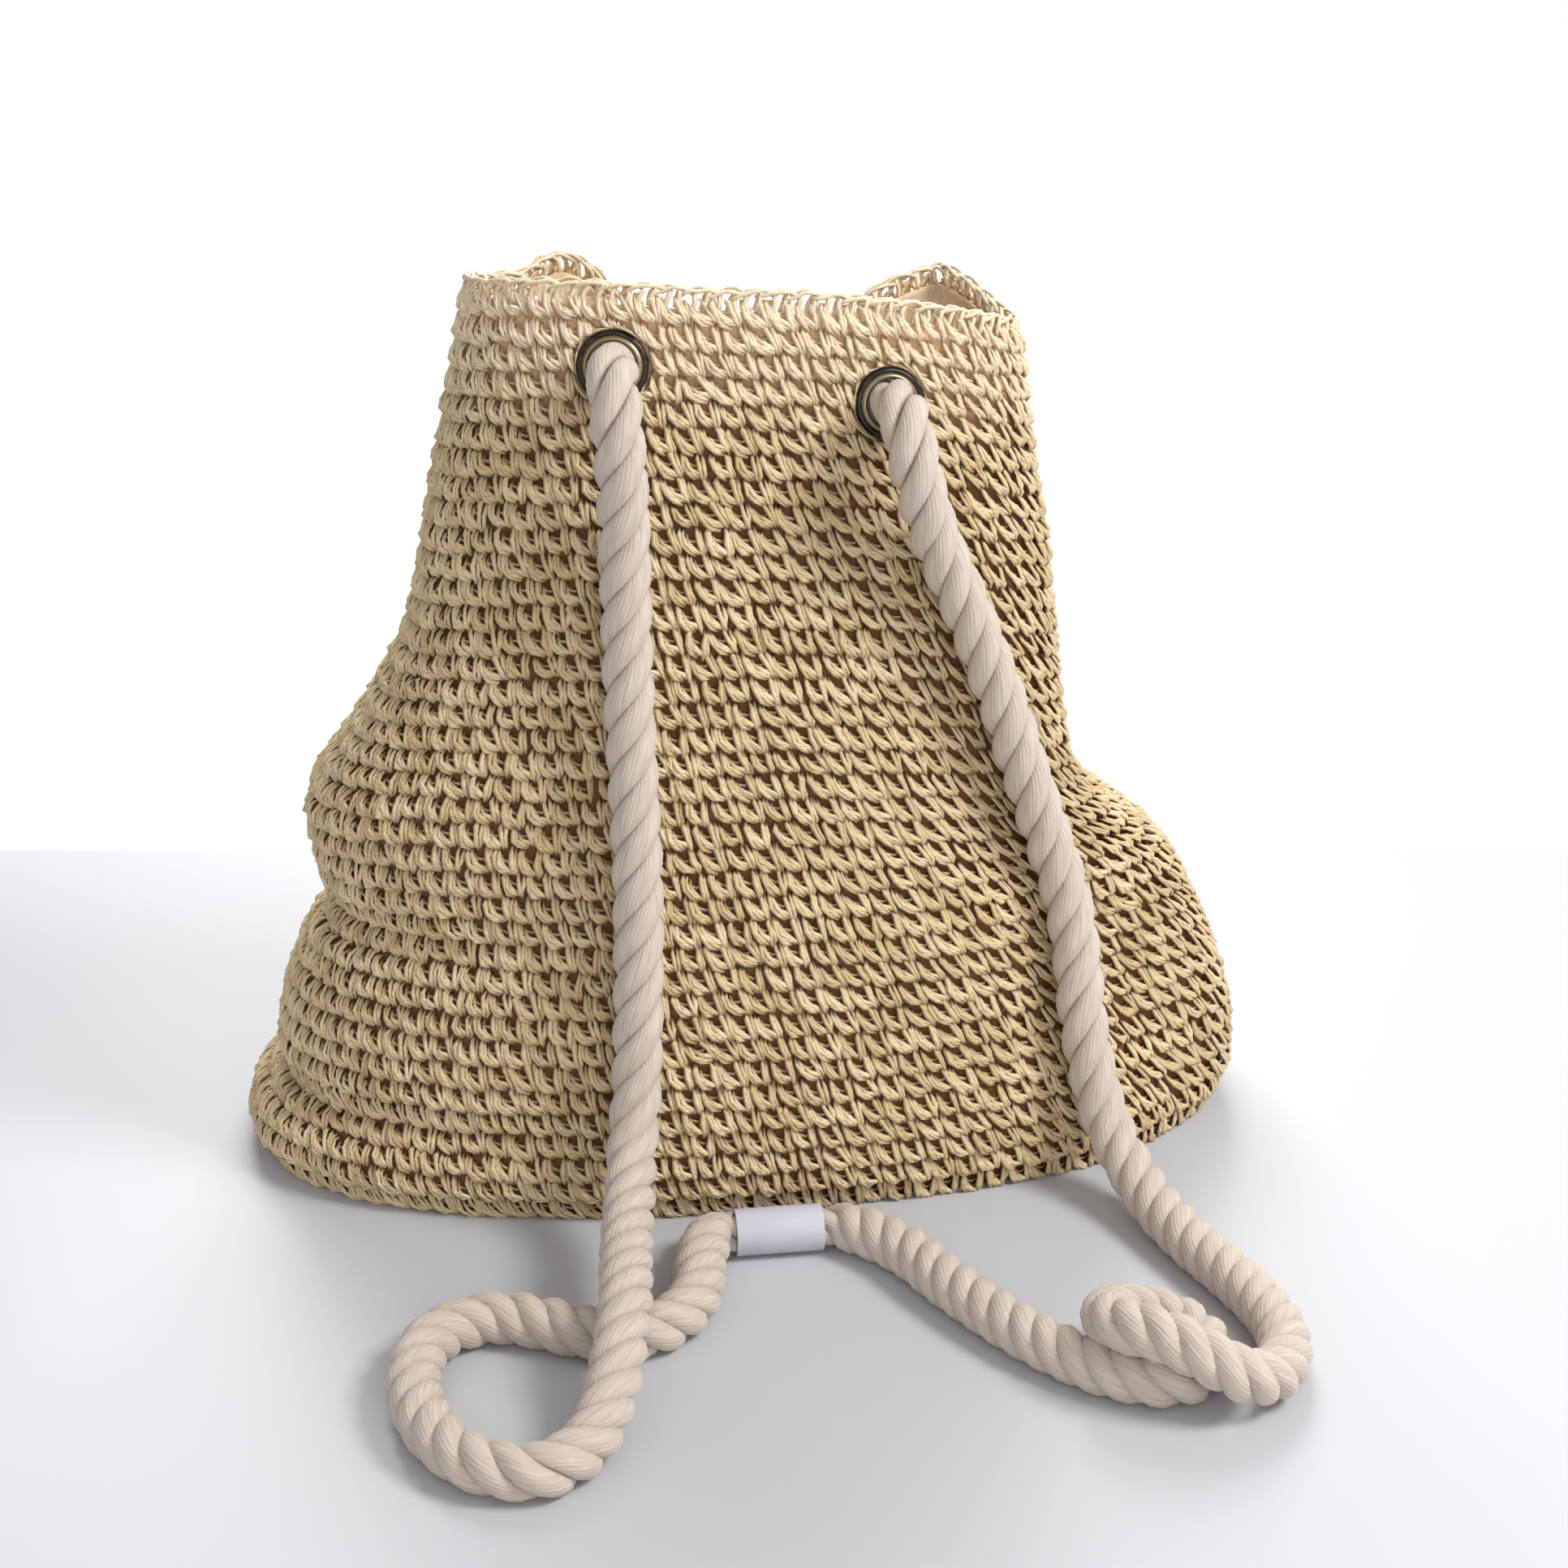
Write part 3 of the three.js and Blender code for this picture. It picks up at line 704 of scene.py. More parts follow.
def make_stitch():
    plies = [make_ply(ply, FAT_WIDTHS) for ply in FAT_LEG]
    plies += [make_ply(ply, STEEP_WIDTHS) for ply in STEEP_LEG]
    plies.append(make_ply(BRIDGE, BRIDGE_WIDTHS, BRIDGE_RINGS, BRIDGE_SIDES, WOBBLE / 2))
    stitch = join_shapes(plies)
    out = stitch["vertices"][:, 2]
    # depth says how far out a point is; the material paints shade where it is low.
    stitch["depth"] = np.clip((out - DEEPEST) / (PROUDEST - DEEPEST), 0, 1)
    return stitch


VARIANTS = 16
stitches = [make_stitch() for _ in range(VARIANTS)]
print("vertices in a stitch", len(stitches[0]["vertices"]))

# %% [markdown]
# ## The rows
# Each row has as many stitches as fit round the bag at its height, so the count falls as the
# bag narrows. Every row starts a little further left than the one below, which gives the
# columns their lean. The wall is split in bands to keep each piece a sensible size.

# %% Rows of stitches
LEAN = 0.27
BANDS = 6
LOWEST = 0.1
JITTER_TURN = 0.1
JITTER_SIZE = 0.06
JITTER_ACROSS = 0.35
JITTER_UP = 0.3
JITTER_OUT = 0.25


def jittered(shape):
    """The stitch turned, resized and moved by small seeded amounts."""
    turn = rng.normal(0, JITTER_TURN)
    size = 1 + rng.normal(0, JITTER_SIZE)
    points = shape["vertices"].copy()
    x = points[:, 0] * math.cos(turn) - points[:, 1] * math.sin(turn)
    y = points[:, 0] * math.sin(turn) + points[:, 1] * math.cos(turn)
    points[:, 0] = x * size + rng.normal(0, JITTER_ACROSS)
    points[:, 1] = y * size + rng.normal(0, JITTER_UP)
    points[:, 2] += rng.normal(0, JITTER_OUT)
    return points


def lay_stitch(shape, where, rise):
    """A stitch in its place, with a tone of its own."""
    return dict(shape, vertices=where, tone=np.full(len(where), rng.random()), rise=rise)


def make_row(row):
    level = (row + 0.5) / ROWS
    grid_row = int(level * GRID_UP)
    count = round(girths[grid_row] / STITCH_WIDTH)
    placed = []
    for number in range(count):
        shape = stitches[rng.integers(VARIANTS)]
        points = jittered(shape)
        steps = number + 0.5 - count // 2 - LEAN * row
        up = level + points[:, 1] / ROW_HEIGHT / ROWS
        share = np.interp(np.clip(up, 0, 1), ups, front_shares)
        share = share + (steps + points[:, 0] / STITCH_WIDTH) / count
        where = lay_on_wall(share, up, points[:, 2])
        if under_grommet(where.mean(0)):
            continue
        where = clear_grommets(where)
        where[:, 2] = np.maximum(where[:, 2], LOWEST)
        placed.append(lay_stitch(shape, where, np.clip(up, 0, 1)))
    return placed


for band in range(BANDS):
    first = ROWS * band // BANDS
    last = ROWS * (band + 1) // BANDS
    placed = [stitch for row in range(first, last) for stitch in make_row(row)]
    add_straw(f"straw_stitches_{band + 1}", join_shapes(placed), "straw_wall")

# %% [markdown]
# ## The inside of the wall
# Behind the legs, the back loops of the stitches close the fabric. One thin shell with a ridge
# for every row stands for them. Its outward face is painted the dark brown of shade, which shows
# in the holes, and its inner face shows as ridged rows from above, with shade painted in the
# valleys between them. It stops half a row below the rim, so light comes through there, and the
# faces that a grommet goes through are left out.

# %% Inner shell
INNER_ROUND = 192
INNER_PER_ROW = 4
INNER_OUT = -3.1
INNER_LOWEST = 0.2
RIDGE = 0.5
STITCH_RIDGE = 0.3
SHELL = 0.7
RIDGE_SHADE = 0.45
OPEN_ROWS = 0.5
SHELL_HOLE = 11.5


def grid_shape(points):
    """A closed tube of quads through a grid of points, with UVs in rounds and rows."""
    across, up = points.shape[:2]
    n, m = np.meshgrid(np.arange(across), np.arange(up - 1), indexing="ij")
    n, m = n.ravel(), m.ravel()
    a = n * up + m
    b = (n + 1) % across * up + m
    quads = np.stack([a, b, b + 1, a + 1], 1)
    corners = np.stack([n, m, n + 1, m, n + 1, m + 1, n, m + 1], 1).reshape(-1, 4, 2).astype(float)
    return {"vertices": points.reshape(-1, 3), "faces": [quads], "corners": [corners]}


def open_at_grommets(shape):
    """Leaves out the faces that a grommet goes through."""
    middle = shape["vertices"][shape["faces"][0]].mean(1)
    kept = np.ones(len(middle), bool)
    for centre, axis in seats.values():
        along, _, distance = from_seat(middle, centre, axis)
        kept &= (distance > SHELL_HOLE) | (np.abs(along) > SQUEEZED)
    shape["faces"] = [shape["faces"][0][kept]]
    shape["corners"] = [shape["corners"][0][kept]]


def make_inner_shell():
    rows = round((ROWS - OPEN_ROWS) * INNER_PER_ROW)
    rounds = np.arange(INNER_ROUND) / INNER_ROUND
    share, step = np.meshgrid(rounds, np.arange(rows + 1), indexing="ij")
    up = step / INNER_PER_ROW / ROWS
    ridge = RIDGE * np.cos(2 * np.pi * step / INNER_PER_ROW)
    stitch_ridge = STITCH_RIDGE * np.cos(np.pi * np.arange(INNER_ROUND))[:, None]
    out = INNER_OUT + ridge + stitch_ridge
    front = grid_shape(lay_on_wall(share, up, out))
    back = grid_shape(lay_on_wall(share, up, out - SHELL))
    back["faces"] = [back["faces"][0][:, ::-1]]
    back["corners"] = [back["corners"][0][:, ::-1]]
    per = rows + 1
    count = INNER_ROUND * per
    n = np.arange(INNER_ROUND)
    m = (n + 1) % INNER_ROUND
    foot = np.stack([n * per, count + n * per, count + m * per, m * per], 1)
    brim = foot[:, [3, 2, 1, 0]] + rows
    shape = join_shapes([front, back])
    shape["faces"] = [np.vstack([shape["faces"][0], foot, brim])]
    rims = np.zeros((2 * INNER_ROUND, 4, 2))
    shape["corners"] = [np.concatenate([shape["corners"][0], rims])]
    shape["vertices"][:, 2] = np.maximum(shape["vertices"][:, 2], INNER_LOWEST)
    # Painted shade: the outward face gets depth 0, the full hole shade, and the inner face is darker in
    # the valleys between its ridges.
    painted_ridge_shade = 0.5 + 0.5 * RIDGE_SHADE * (ridge + stitch_ridge) / RIDGE
    shape["depth"] = np.concatenate([np.zeros(count), np.clip(painted_ridge_shade, 0, 1).ravel()])
    shape["tone"] = np.full(2 * count, 0.5)
    shape["rise"] = np.concatenate([up.ravel(), up.ravel()])
    open_at_grommets(shape)
    return shape


add_straw("straw_inner_shell", make_inner_shell(), "straw_wall")

# %% [markdown]
# ## The rim
# The last round is a chain: each link leans on the next, with a strand on either side of the
# edge. Short posts tie it to the row below, two outside and one inside.

# %% Rim chain
LINK_OUTER = [(-0.8, 1.1, 0.2), (-0.4, 2.0, 1.9), (0.0, 1.8, 3.0), (0.4, 0.9, 3.0), (0.8, 0.2, 1.4)]
LINK_INNER = [(along, -aside, up) for along, aside, up in LINK_OUTER]
LINK_POSTS = [
    [(-0.3, 1.2, -5.0), (-0.28, 2.0, -1.6), (-0.14, 1.2, 2.0)],
    [(0.18, 1.2, -5.0), (0.24, 2.0, -1.6), (0.34, 1.2, 1.8)],
    [(0.1, -1.2, -5.0), (0.16, -1.9, -1.6), (0.3, -1.0, 1.8)],
]
LINK_HALF = 0.85
POST_HALF = 1.0
LINK_PARTS = [(LINK_OUTER, LINK_HALF), (LINK_INNER, LINK_HALF)]
LINK_PARTS += [(post, POST_HALF) for post in LINK_POSTS]
LINK_SIDES = 5
LINK_JITTER = (0.05, 0.25, 0.45)
LINK_DEPTH = 0.9
level_normals = unit(skin_normals[:, -1] * (1, 1, 0))
rim_line = skin[:, -1]


def lay_on_rim(share, aside, up):
    out = read_ring(level_normals, share)
    points = read_ring(rim_line, share) + out * (aside - WALL / 2)[:, None]
    points[:, 2] += up
    return points


def make_link(number, count):
    strands = []
    for points, width in LINK_PARTS:
        placed = np.array(points) + rng.normal(0, LINK_JITTER, (len(points), 3))
        line, _ = smooth_line(placed * (STITCH_WIDTH, 1, 1), 3 + len(points))
        share = front_shares[-1] + (number + 0.5 + line[:, 0] / STITCH_WIDTH) / count
        laid = lay_on_rim(share, line[:, 1], line[:, 2])
        outward = lay_on_rim(share, line[:, 1] + np.sign(line[:, 1]), line[:, 2] + 1) - laid
        strands.append(sweep(laid, outward, width, width * THICK, LINK_SIDES))
    link = join_shapes(strands)
    points = link["vertices"]
    link["depth"] = np.full(len(points), LINK_DEPTH)
    return lay_stitch(link, points, np.ones(len(points)))


link_count = round(girths[-1] / STITCH_WIDTH)
links = [make_link(number, link_count) for number in range(link_count)]
add_straw("rim_chain", join_shapes(links), "rim_edging")

# %% [markdown]
# ## The base
# The oval base is crocheted in rounds from a line in its middle. The same stitch is laid
# underneath it, round by round. A thin slab closes it and shows as the floor inside the bag,
# with a ridge for each round.

# %% Base rounds
BASE_ROUNDS = 9
BASE_SKIN = 2.3
BASE_LOWEST = 0.05
FEWEST_STITCHES = 12
SPINE_HALF = 98
foot_line = skin[:, 0]


def lay_on_base(share, inward, out):
    edge = read_ring(foot_line, share)
    spine_x = np.clip(edge[:, 0], -SPINE_HALF, SPINE_HALF)
    spine = np.stack([spine_x, np.zeros(len(edge)), edge[:, 2]], 1)
    points = edge + (spine - edge) * inward[:, None]
    points[:, 2] = BASE_SKIN - out
    return points


def make_base_round(number):
    middle = (number + 0.9) / (BASE_ROUNDS + 0.9)
    ring = lay_on_base(shares[:-1], np.full(GRID_ROUND, middle), np.zeros(GRID_ROUND))
    count = max(FEWEST_STITCHES, round(walk_lengths(ring)[-1] / STITCH_WIDTH))
    placed = []
    for stitch in range(count):
        shape = base_stitches[rng.integers(len(base_stitches))]
        points = jittered(shape)
        share = (stitch + 0.5 - points[:, 0] / STITCH_WIDTH) / count
        inward = middle + points[:, 1] / ROW_HEIGHT / (BASE_ROUNDS + 0.9)
        where = lay_on_base(share, np.clip(inward, 0.02, 1), points[:, 2])
        where[:, 2] = np.maximum(where[:, 2], BASE_LOWEST)
        placed.append(lay_stitch(shape, where, np.zeros(len(where))))
    return placed


base_stitches = [make_stitch() for _ in range(3)]
placed = [stitch for number in range(BASE_ROUNDS) for stitch in make_base_round(number)]
add_straw("base_rounds", join_shapes(placed), "straw_base")

# %% Base slab
SLAB_SIDES = 96
SLAB_LOW = 2.6
SLAB_TOP = 3.6
SLAB_EDGE = 0.055
SLAB_MIDDLE = 0.97
SLAB_RIDGE = 0.3
# How much painted hole shade the floor slab gets, through the depth attribute.
SLAB_SHADE_DEPTH = 0.62


def make_slab():
    share = np.arange(SLAB_SIDES) / SLAB_SIDES
    levels = [(SLAB_EDGE, SLAB_LOW), (SLAB_EDGE, SLAB_TOP)]
    for step in range(1, 2 * BASE_ROUNDS + 1):
        inward = SLAB_EDGE + (SLAB_MIDDLE - SLAB_EDGE) * step / (2 * BASE_ROUNDS)
        levels.append((inward, SLAB_TOP + (SLAB_RIDGE if step % 2 else -SLAB_RIDGE)))
    rings = [lay_on_base(share, np.full(SLAB_SIDES, inward), np.full(SLAB_SIDES, BASE_SKIN - z))
             for inward, z in levels]
    shape = grid_shape(np.stack(rings, 1))
    ring = np.arange(SLAB_SIDES) * len(levels)
    caps = np.stack([ring[::-1], ring + len(levels) - 1])
    shape["faces"].append(caps)
    shape["corners"].append(np.zeros((2, SLAB_SIDES, 2)))
    count = len(shape["vertices"])
    shape["depth"] = np.full(count, SLAB_SHADE_DEPTH)
    shape["tone"] = np.full(count, 0.5)
    shape["rise"] = np.zeros(count)
    return shape


add_straw("base_slab", make_slab(), "straw_base")

# %% [markdown]
# ## The grommets
# An eyelet is a turned part: a crowned outer ring, a step and a rounded inner ring, with a
# tube that is rolled over a washer behind the wall. Its outline is spun round its axis, and
# the ring inside the step is rubbed to brass.

# %% Grommets
EYELET = [
    (13.5, -0.3), (13.5, 0.6), (13.2, 1.3), (12.7, 1.75), (12.1, 1.85), (11.6, 1.7), (11.35, 1.35),
    (11.1, 1.6), (10.7, 2.1), (10.2, 2.3), (9.7, 2.15), (9.35, 1.7), (9.2, 1.0), (9.2, -5.9),
    (9.6, -6.3), (11.1, -6.3), (11.7, -5.7), (11.1, -5.0), (10.4, -5.0), (10.4, -0.3),
]
WASHER = [(10.7, -4.7), (13.3, -4.7), (13.5, -4.5), (13.5, -3.9), (13.3, -3.7), (10.7, -3.7)]
SPIN_STEPS = 72
RUBBED_RADIUS = 11.4
SHARP_ANGLE = math.radians(50)


def spin_outline(name, outline):
    """Spins a closed outline of (radius, height) pairs round Z into a ring."""
    deselect()
    bpy.ops.mesh.primitive_circle_add(vertices=len(outline), radius=1, location=(0, 0, 0))
    ring = bpy.context.object
    ring.name = name
    for vertex, (radius, height) in zip(ring.data.vertices, outline):
        vertex.co = (radius * MM, 0, height * MM)
    bpy.ops.object.mode_set(mode="EDIT")
    bpy.ops.mesh.select_all(action="SELECT")
    bpy.ops.mesh.spin(steps=SPIN_STEPS, angle=2 * math.pi, center=(0, 0, 0), axis=(0, 0, 1))
    bpy.ops.mesh.select_all(action="SELECT")
    bpy.ops.mesh.remove_doubles(threshold=0.01 * MM)
    bpy.ops.mesh.normals_make_consistent(inside=False)
    bpy.ops.object.mode_set(mode="OBJECT")
    bpy.ops.object.shade_smooth_by_angle(angle=SHARP_ANGLE)
    radii = np.array([vertex.co.xy.length for vertex in ring.data.vertices])
    rubbed = radii < RUBBED_RADIUS * MM
    layer = ring.data.attributes.new("polish", "FLOAT", "POINT")
    layer.data.foreach_set("value", rubbed.astype(np.float32))
    return ring


def stand_on_wall(thing, centre, axis):
    """Turns a piece's +Z to the grommet's axis and moves it there, in its mesh."""
    turn = Vector((0, 0, 1)).rotation_difference(Vector(axis)).to_matrix().to_4x4()
    thing.data.transform(Matrix.Translation(Vector(centre) * MM) @ turn)
    thing.data.update()


for side, (centre, axis) in seats.items():
    for part, outline in (("eyelet", EYELET), ("washer", WASHER)):
        ring = spin_outline(f"brass_{part}_{side}", outline)
        stand_on_wall(ring, centre, axis)
        finish_piece(ring, BRASS, f"grommet_{side}_{part}")
        print(ring.name, len(ring.data.polygons), "faces")

# %% [markdown]
# ## The rope strap
# One thick cotton rope, laid from three strands to the right, comes out of each grommet,
# hangs in front of the back panel, loops on the table and goes into the white loop. The
# route is the CAD rope's own, point for point. Three strands wind round it, and they are
# squeezed together where the rope enters the loop.

# %% Rope
HANGING_LAY = 47
LYING_LAY = {"left": 38, "right": 33}
HANGS_FOR = 300
LIES_FROM = 420
STRAND_PLACE = 5.25
STRAND_ACROSS = 5.2
STRAND_OUT = 4.85
STRAND_SIDES = 14
ROPE_REACH = STRAND_PLACE + STRAND_OUT
RING_STEP = 2.2
BORE_REACH = 12
SQUEEZED_RADIUS = 7.4
BORE_RADIUS = 8.9
ROPE_LEFT = [
    (-49.5, -72.5, 328), (-49, -77.5, 316), (-48, -77.5, 300), (-47, -75.5, 275),
    (-47, -76.5, 245), (-47, -80.5, 215), (-46.5, -85.5, 183), (-46, -91.5, 151),
    (-46.5, -98, 120), (-48, -105, 88), (-50, -111.5, 58), (-52.5, -121, 41), (-55, -138, 33),
    (-58, -160, 29.5), (-61, -185, 28.4), (-63, -207, 28), (-67, -230, 23.5), (-73, -252, 15.5),
    (-82, -270, 10), (-99, -283, 9.2), (-118, -277, 9.2), (-132, -259, 9.2), (-139, -235, 9.2),
    (-138.5, -211, 9.2), (-129, -191, 9.2), (-111, -183, 9.2), (-93, -189, 9.2), (-75, -199, 9.2),
    (-58, -201, 9.2), (-43, -192, 9.2), (-34, -176, 9.2), (-31, -158, 9.2), (-27, -142, 9.2),
]
ROPE_RIGHT = [
    (59, -73.5, 311), (61, -79, 299), (65, -78, 283), (71, -74, 266), (84, -72, 237),
    (97, -71.5, 204), (109, -71.5, 169), (119, -71.5, 140), (126, -74, 118), (129.5, -80, 97),
    (131, -90, 71), (134.5, -97, 48), (139, -104, 31), (145, -119, 18), (151, -140, 11),
    (158, -166, 9.2), (165.5, -190, 9.2), (171, -212, 9.2), (173, -232, 9.2), (169, -250, 9.6),
    (160, -264, 12), (148, -271, 17), (135, -268.5, 24), (122, -260, 28.2), (110, -249, 27),
    (107, -237, 23.5), (113, -226, 19), (126, -222, 15), (138, -228, 12), (143, -240, 10),
    (138, -253, 9.2), (125, -258, 9.2), (109, -252, 9.2), (92, -236, 9.2), (75, -211, 9.2),
    (60, -182, 9.2), (48, -156, 9.2), (36, -141, 9.2),
]
loop_low, loop_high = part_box("strap_sleeve")
core_low, core_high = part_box("strap_rope_core")
LOOP_CENTRE = np.array((core_low + core_high) / 2) / MM
CORE_HALF = (core_high.x - core_low.x) / 2 / MM
END_STRAIGHT = 6.3
FLANGE_REACH = 3.6
END_GAP = 0.3
ROPE_LOWEST = 0.1
EASING = ((4, 14), (BORE_REACH + 2, BORE_REACH + 14))


def carry_frames(line):
    """An upright pair of directions for every point, carried along the line without twisting."""
    tangent = unit(np.gradient(line, axis=0))
    first = unit(np.cross(tangent[0], (0.3, 0.2, 0.9)))
    normals = [first]
    for n in range(1, len(line)):
        turned = normals[-1] - tangent[n] * (normals[-1] @ tangent[n])
        normals.append(unit(turned))
    normals = np.array(normals)
    return tangent, normals, np.cross(tangent, normals)


def lay_rope(line, squeeze, lay):
    """Three strands wound to the right round a line. squeeze is each point's share of full size."""
    tangent, normal, side = carry_frames(line)
    steps = np.diff(walk_lengths(line), prepend=0)
    turns = np.cumsum(steps / lay)
    strands = []
    for number in range(3):
        turn = 2 * np.pi * (turns + number / 3)
        radial = normal * np.cos(turn)[:, None] + side * np.sin(turn)[:, None]
        centre = line + radial * (STRAND_PLACE * squeeze)[:, None]
        across, out = STRAND_ACROSS * squeeze, STRAND_OUT * squeeze
        strands.append(sweep(centre, radial, across, out, STRAND_SIDES))
    rope = join_shapes(strands)
    # depth is how far out from the rope's middle a point is; the material paints shade in the grooves
    # where it is low.
    rings = np.repeat(line[None], 3, 0).reshape(-1, 3)
    middle = np.repeat(rings, STRAND_SIDES, 0)
    size = np.repeat(np.tile(squeeze, 3), STRAND_SIDES)
    away = np.linalg.norm(rope["vertices"] - middle, axis=1)
    rope["depth"] = np.clip(away / (ROPE_REACH * size), 0, 1)
    rope["vertices"][:, 2] = np.maximum(rope["vertices"][:, 2], ROPE_LOWEST)
    return rope


def rope_line(name, side, route):
    """The strap's line from inside its grommet to inside the white loop, its squeeze and its lay."""
    centre, axis = seats[name]
    end = LOOP_CENTRE + np.array((side * (CORE_HALF + END_GAP), 0, 0))
    straight = np.array((side * END_STRAIGHT, 0, 0))
    points = [
        centre - axis * BORE_REACH, centre - axis * BORE_REACH / 2, centre + axis * FLANGE_REACH,
        centre + axis * (FLANGE_REACH + END_STRAIGHT), *route, end + straight, end, end - straight / 2,
    ]
    _, length = smooth_line(points, 2)
    line, _ = smooth_line(points, round(length / RING_STEP))
    to_end = np.linspace(length, 0, len(line))
    from_start = length - to_end
    tight = SQUEEZED_RADIUS / ROPE_REACH
    bore = BORE_RADIUS / ROPE_REACH
    squeeze = np.minimum(
        np.interp(to_end, EASING[0], [tight, 1.0]),
        np.interp(from_start, EASING[1], [bore, 1.0]),
    )
    lay = np.interp(from_start, [HANGS_FOR, LIES_FROM], [HANGING_LAY, LYING_LAY[name]])
    return line, squeeze, lay, length


def tightest_bend(line):
    """The smallest radius along a line, and where it is."""
    tangent = unit(np.diff(line, axis=0))
    turned = np.linalg.norm(np.diff(tangent, axis=0), axis=1)
    step = np.linalg.norm(line[2:] - line[:-2], axis=1) / 2
    sharpest = np.argmax(turned / step)
    return step[sharpest] / turned[sharpest], line[sharpest + 1]


rope_lines = {}
for name, side, route in (("left", -1, ROPE_LEFT), ("right", 1, ROPE_RIGHT)):
    line, squeeze, lay, length = rope_line(name, side, route)
    rope = add_rope(f"rope_{name}", lay_rope(line, squeeze, lay), f"strap_rope_{name}")
    rope_lines[name] = (rope, line, length)
    radius, where = tightest_bend(line)
    print(rope.name, round(length), "mm long, tightest bend", round(radius), "mm at", where.round())

# %% [markdown]
# ## The rope inside the loop, and the knots
# Inside the white loop the rope is squeezed, so its middle is a short tight stretch of the
# same lay. Behind the wall each end is held by a stopper knot: three tucked turns and a
# short tail.

# %% Core and knots
def stretch(start, end, radius):
    points = np.linspace(start, end, max(4, round(np.linalg.norm(end - start) / RING_STEP)))
    return lay_rope(points, np.full(len(points), radius / ROPE_REACH), LYING_LAY["left"])


CORE_SHORT = 5
CORE_RADIUS = 7.2
core_reach = np.array((CORE_HALF - CORE_SHORT, 0, 0))
core_rope = stretch(LOOP_CENTRE - core_reach, LOOP_CENTRE + core_reach, CORE_RADIUS)
core = add_rope("rope_in_loop", core_rope, "strap_rope_core")

KNOT_MIDDLE = -21
KNOT_TURN_RADIUS = 10.5
KNOT_TUCK = 1.2
KNOT_TURNS = 1.04
KNOT_LEAN = 0.75
KNOT_RINGS = 44
KNOT_SIDES = 12
KNOT_STRAND = 7.0
TAIL_START = KNOT_MIDDLE - 6
TAIL_END = -52.5
TAIL_RADIUS = 8.6


def knot_turn(centre, axis, number):
    """One tucked turn of the knot: a tilted ring whose end dives under its start."""
    side = unit(np.cross(axis, (0, 0, 1)))
    up = np.cross(side, axis)
    turn = 2 * np.pi * number / 3
    lean = unit(side * math.cos(turn) + up * math.sin(turn))
    tilted = unit(axis + KNOT_LEAN * lean)
    first = unit(np.cross(tilted, lean))
    second = np.cross(tilted, first)
    steps = np.linspace(0, 2 * np.pi * KNOT_TURNS, KNOT_RINGS)
    radius = (KNOT_TURN_RADIUS - KNOT_TUCK * steps / steps[-1])[:, None]
    middle = centre + axis * KNOT_MIDDLE
    ring = middle + (first * np.cos(steps)[:, None] + second * np.sin(steps)[:, None]) * radius
    shape = sweep(ring, ring - middle, KNOT_STRAND, KNOT_STRAND, KNOT_SIDES)
    away = np.linalg.norm(shape["vertices"] - middle, axis=1)
    # Painted shade on the inner sides of the knot's turns, through the depth attribute.
    shape["depth"] = np.clip(0.4 + (away - 10) / 12, 0, 1)
    return shape


for side, (centre, axis) in seats.items():
    turns = [knot_turn(centre, axis, number) for number in range(3)]
    tail = stretch(centre + axis * TAIL_START, centre + axis * TAIL_END, TAIL_RADIUS)
    add_rope(f"knot_{side}", join_shapes(turns + [tail]), f"strap_knot_{side}")

# %% [markdown]
# ## The two free stretches
# The strap is one rope with two free stretches. Both leave the bag at a grommet and go back
# into it at the white loop. The cell below only looks up each stretch's grommet seat.

# %% Cords
for side, (rope, line, length) in rope_lines.items():
    centre, axis = seats[side]

# %% [markdown]
# ## The white loop
# A plain white tape is folded round the rope and its tail runs back under the bag's edge.
# The tube is an open cylinder given its thickness and soft edges, and the tail is a thin
# slab with the same edges.

# %% White loop
LOOP_OUTSIDE = (loop_high.z - loop_low.z) / 2
LOOP_SIDES = 72
LOOP_WALL = 1.3 * MM
TAIL_THICK = 1.4 * MM
TAIL_INSET = 1 * MM
SOFT_EDGE = 0.35 * MM
loop_length = loop_high.x - loop_low.x
loop_place = Vector(((loop_low.x + loop_high.x) / 2, loop_low.y + LOOP_OUTSIDE, LOOP_OUTSIDE))


def apply_place():
    bpy.ops.object.transform_apply(location=True, rotation=True, scale=True)


def soften_edges(thing):
    soft = thing.modifiers.new("soft edges", "BEVEL")
    soft.width = SOFT_EDGE
    soft.segments = 3
    bpy.ops.object.modifier_apply(modifier="soft edges")


deselect()
bpy.ops.mesh.primitive_cylinder_add(
    vertices=LOOP_SIDES, radius=LOOP_OUTSIDE, depth=loop_length, end_fill_type="NOTHING",
    location=loop_place, rotation=(0, math.pi / 2, 0),
)
loop = bpy.context.object
loop.name = "white_loop"
tape = loop.modifiers.new("tape", "SOLIDIFY")
tape.thickness = LOOP_WALL
tape.offset = -1
bpy.ops.object.modifier_apply(modifier="tape")
soften_edges(loop)
apply_place()

deselect()
tail_length = loop_high.y - loop_place.y
tail_place = (loop_place.x, loop_place.y + tail_length / 2 + TAIL_INSET, TAIL_THICK / 2)
bpy.ops.mesh.primitive_cube_add(size=1, location=tail_place)
tail = bpy.context.object
tail.scale = (loop_length, tail_length - 2 * TAIL_INSET, TAIL_THICK)
apply_place()
soften_edges(tail)
deselect()
tail.select_set(True)
loop.select_set(True)
bpy.context.view_layer.objects.active = loop
bpy.ops.object.join()
bpy.ops.object.shade_smooth_by_angle(angle=math.radians(35))
finish_piece(loop, TAPE, "strap_sleeve")
print("white loop", len(loop.data.polygons), "faces")

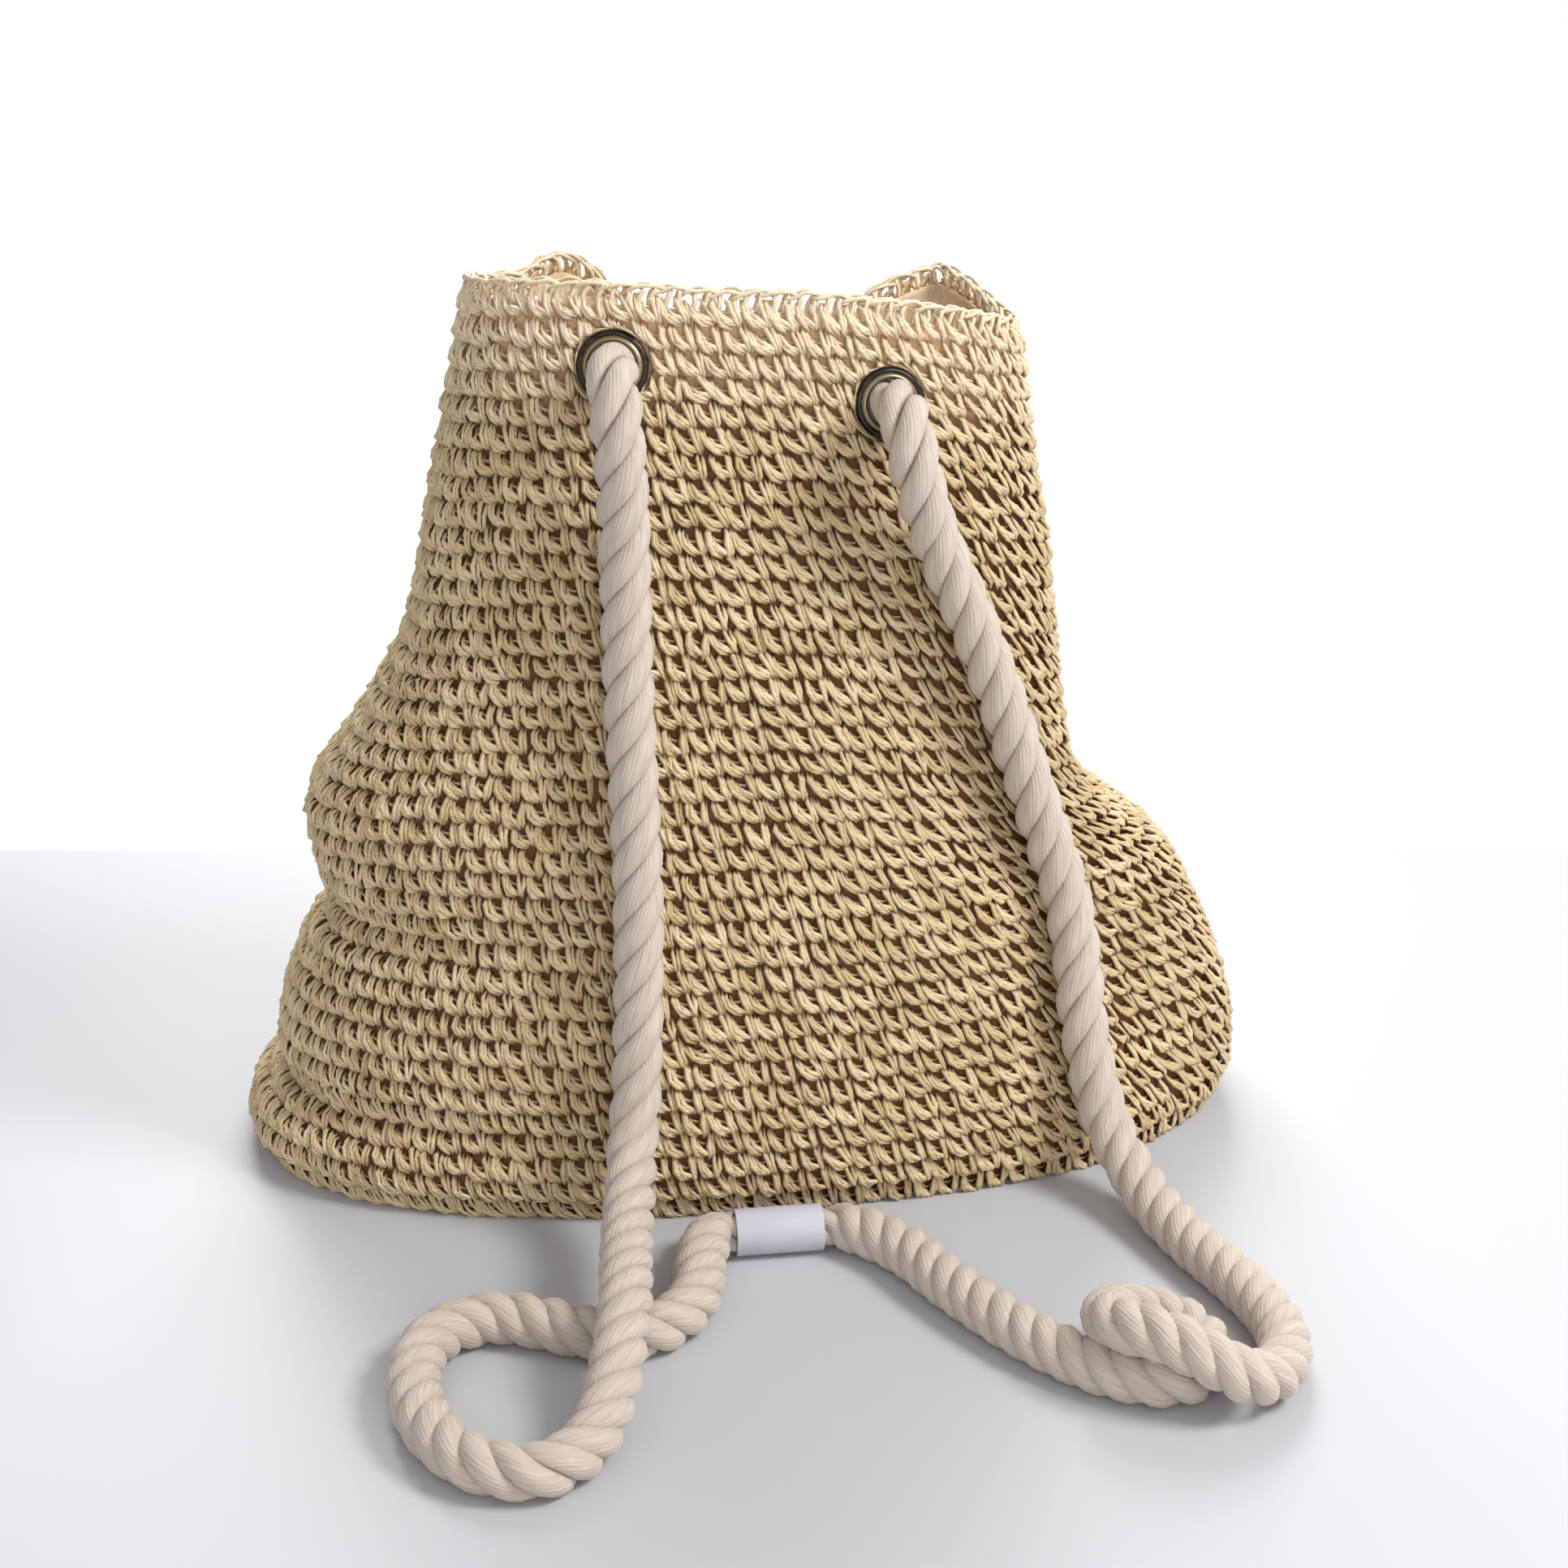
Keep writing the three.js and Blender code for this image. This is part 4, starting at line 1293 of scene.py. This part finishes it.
# %% [markdown]
# ## Table and light
# The bag stands on a pale table whose far edge shows behind it, in front of a white
# background. A key light stands at the upper right, a weak fill in front and a wide window
# behind, so the rim glows and the ropes throw soft shadows to the left.

# %% Table and light
TABLE_EDGE = 1.407
TABLE_HALF = 2.6
TABLE_REACH = 4.0
AMBIENT = 0.59
TABLE_COLOUR = (0.50, 0.505, 0.53, 1)
look = ((CAMERA_AIM - CAMERA_PLACE) * Vector((1, 1, 0))).normalized()
edge_middle = Vector((CAMERA_PLACE.x, CAMERA_PLACE.y, 0)) + look * TABLE_EDGE
deselect()
bpy.ops.mesh.primitive_plane_add(size=1, location=edge_middle - look * TABLE_REACH / 2)
table = bpy.context.object
table.name = "table"
table.scale = (TABLE_HALF * 2, TABLE_REACH, 1)
table.rotation_euler = (0, 0, math.atan2(-look.x, look.y))
apply_place()
material, tree, shader = start_material("pale table", 0.42)
feed(tree, shader, {"Base Color": TABLE_COLOUR, "Specular IOR Level": 0.22})
table.data.materials.append(material)

world = bpy.data.worlds.new("studio")
bpy.context.scene.world = world
world.use_nodes = True
sky = world.node_tree
rays = add_node(sky, "ShaderNodeLightPath").outputs["Is Camera Ray"]
seen = add_node(sky, "ShaderNodeMapRange", {"Value": rays, "To Min": AMBIENT, "To Max": 1.0})
feed(sky, sky.nodes["Background"], {"Color": (1, 1, 1, 1), "Strength": seen.outputs[0]})
bpy.context.scene.view_settings.view_transform = "Standard"


def add_softbox(name, place, aim, size, power):
    place, aim = Vector(place), Vector(aim)
    turn = (aim - place).to_track_quat("-Z", "Y").to_euler()
    deselect()
    bpy.ops.object.light_add(type="AREA", radius=size, location=place, rotation=turn)
    lamp = bpy.context.object
    lamp.name = name
    lamp.data.energy = power
    lamp.data.size = size


add_softbox("key", (1.0, -0.6, 1.2), (0, 0, 0.15), 0.5, 20)
add_softbox("fill", (0.1, -2.0, 0.55), (0, 0, 0.2), 1.0, 10)
add_softbox("window", (0.1, 1.5, 1.3), (0, 0, 0.1), 1.2, 42)
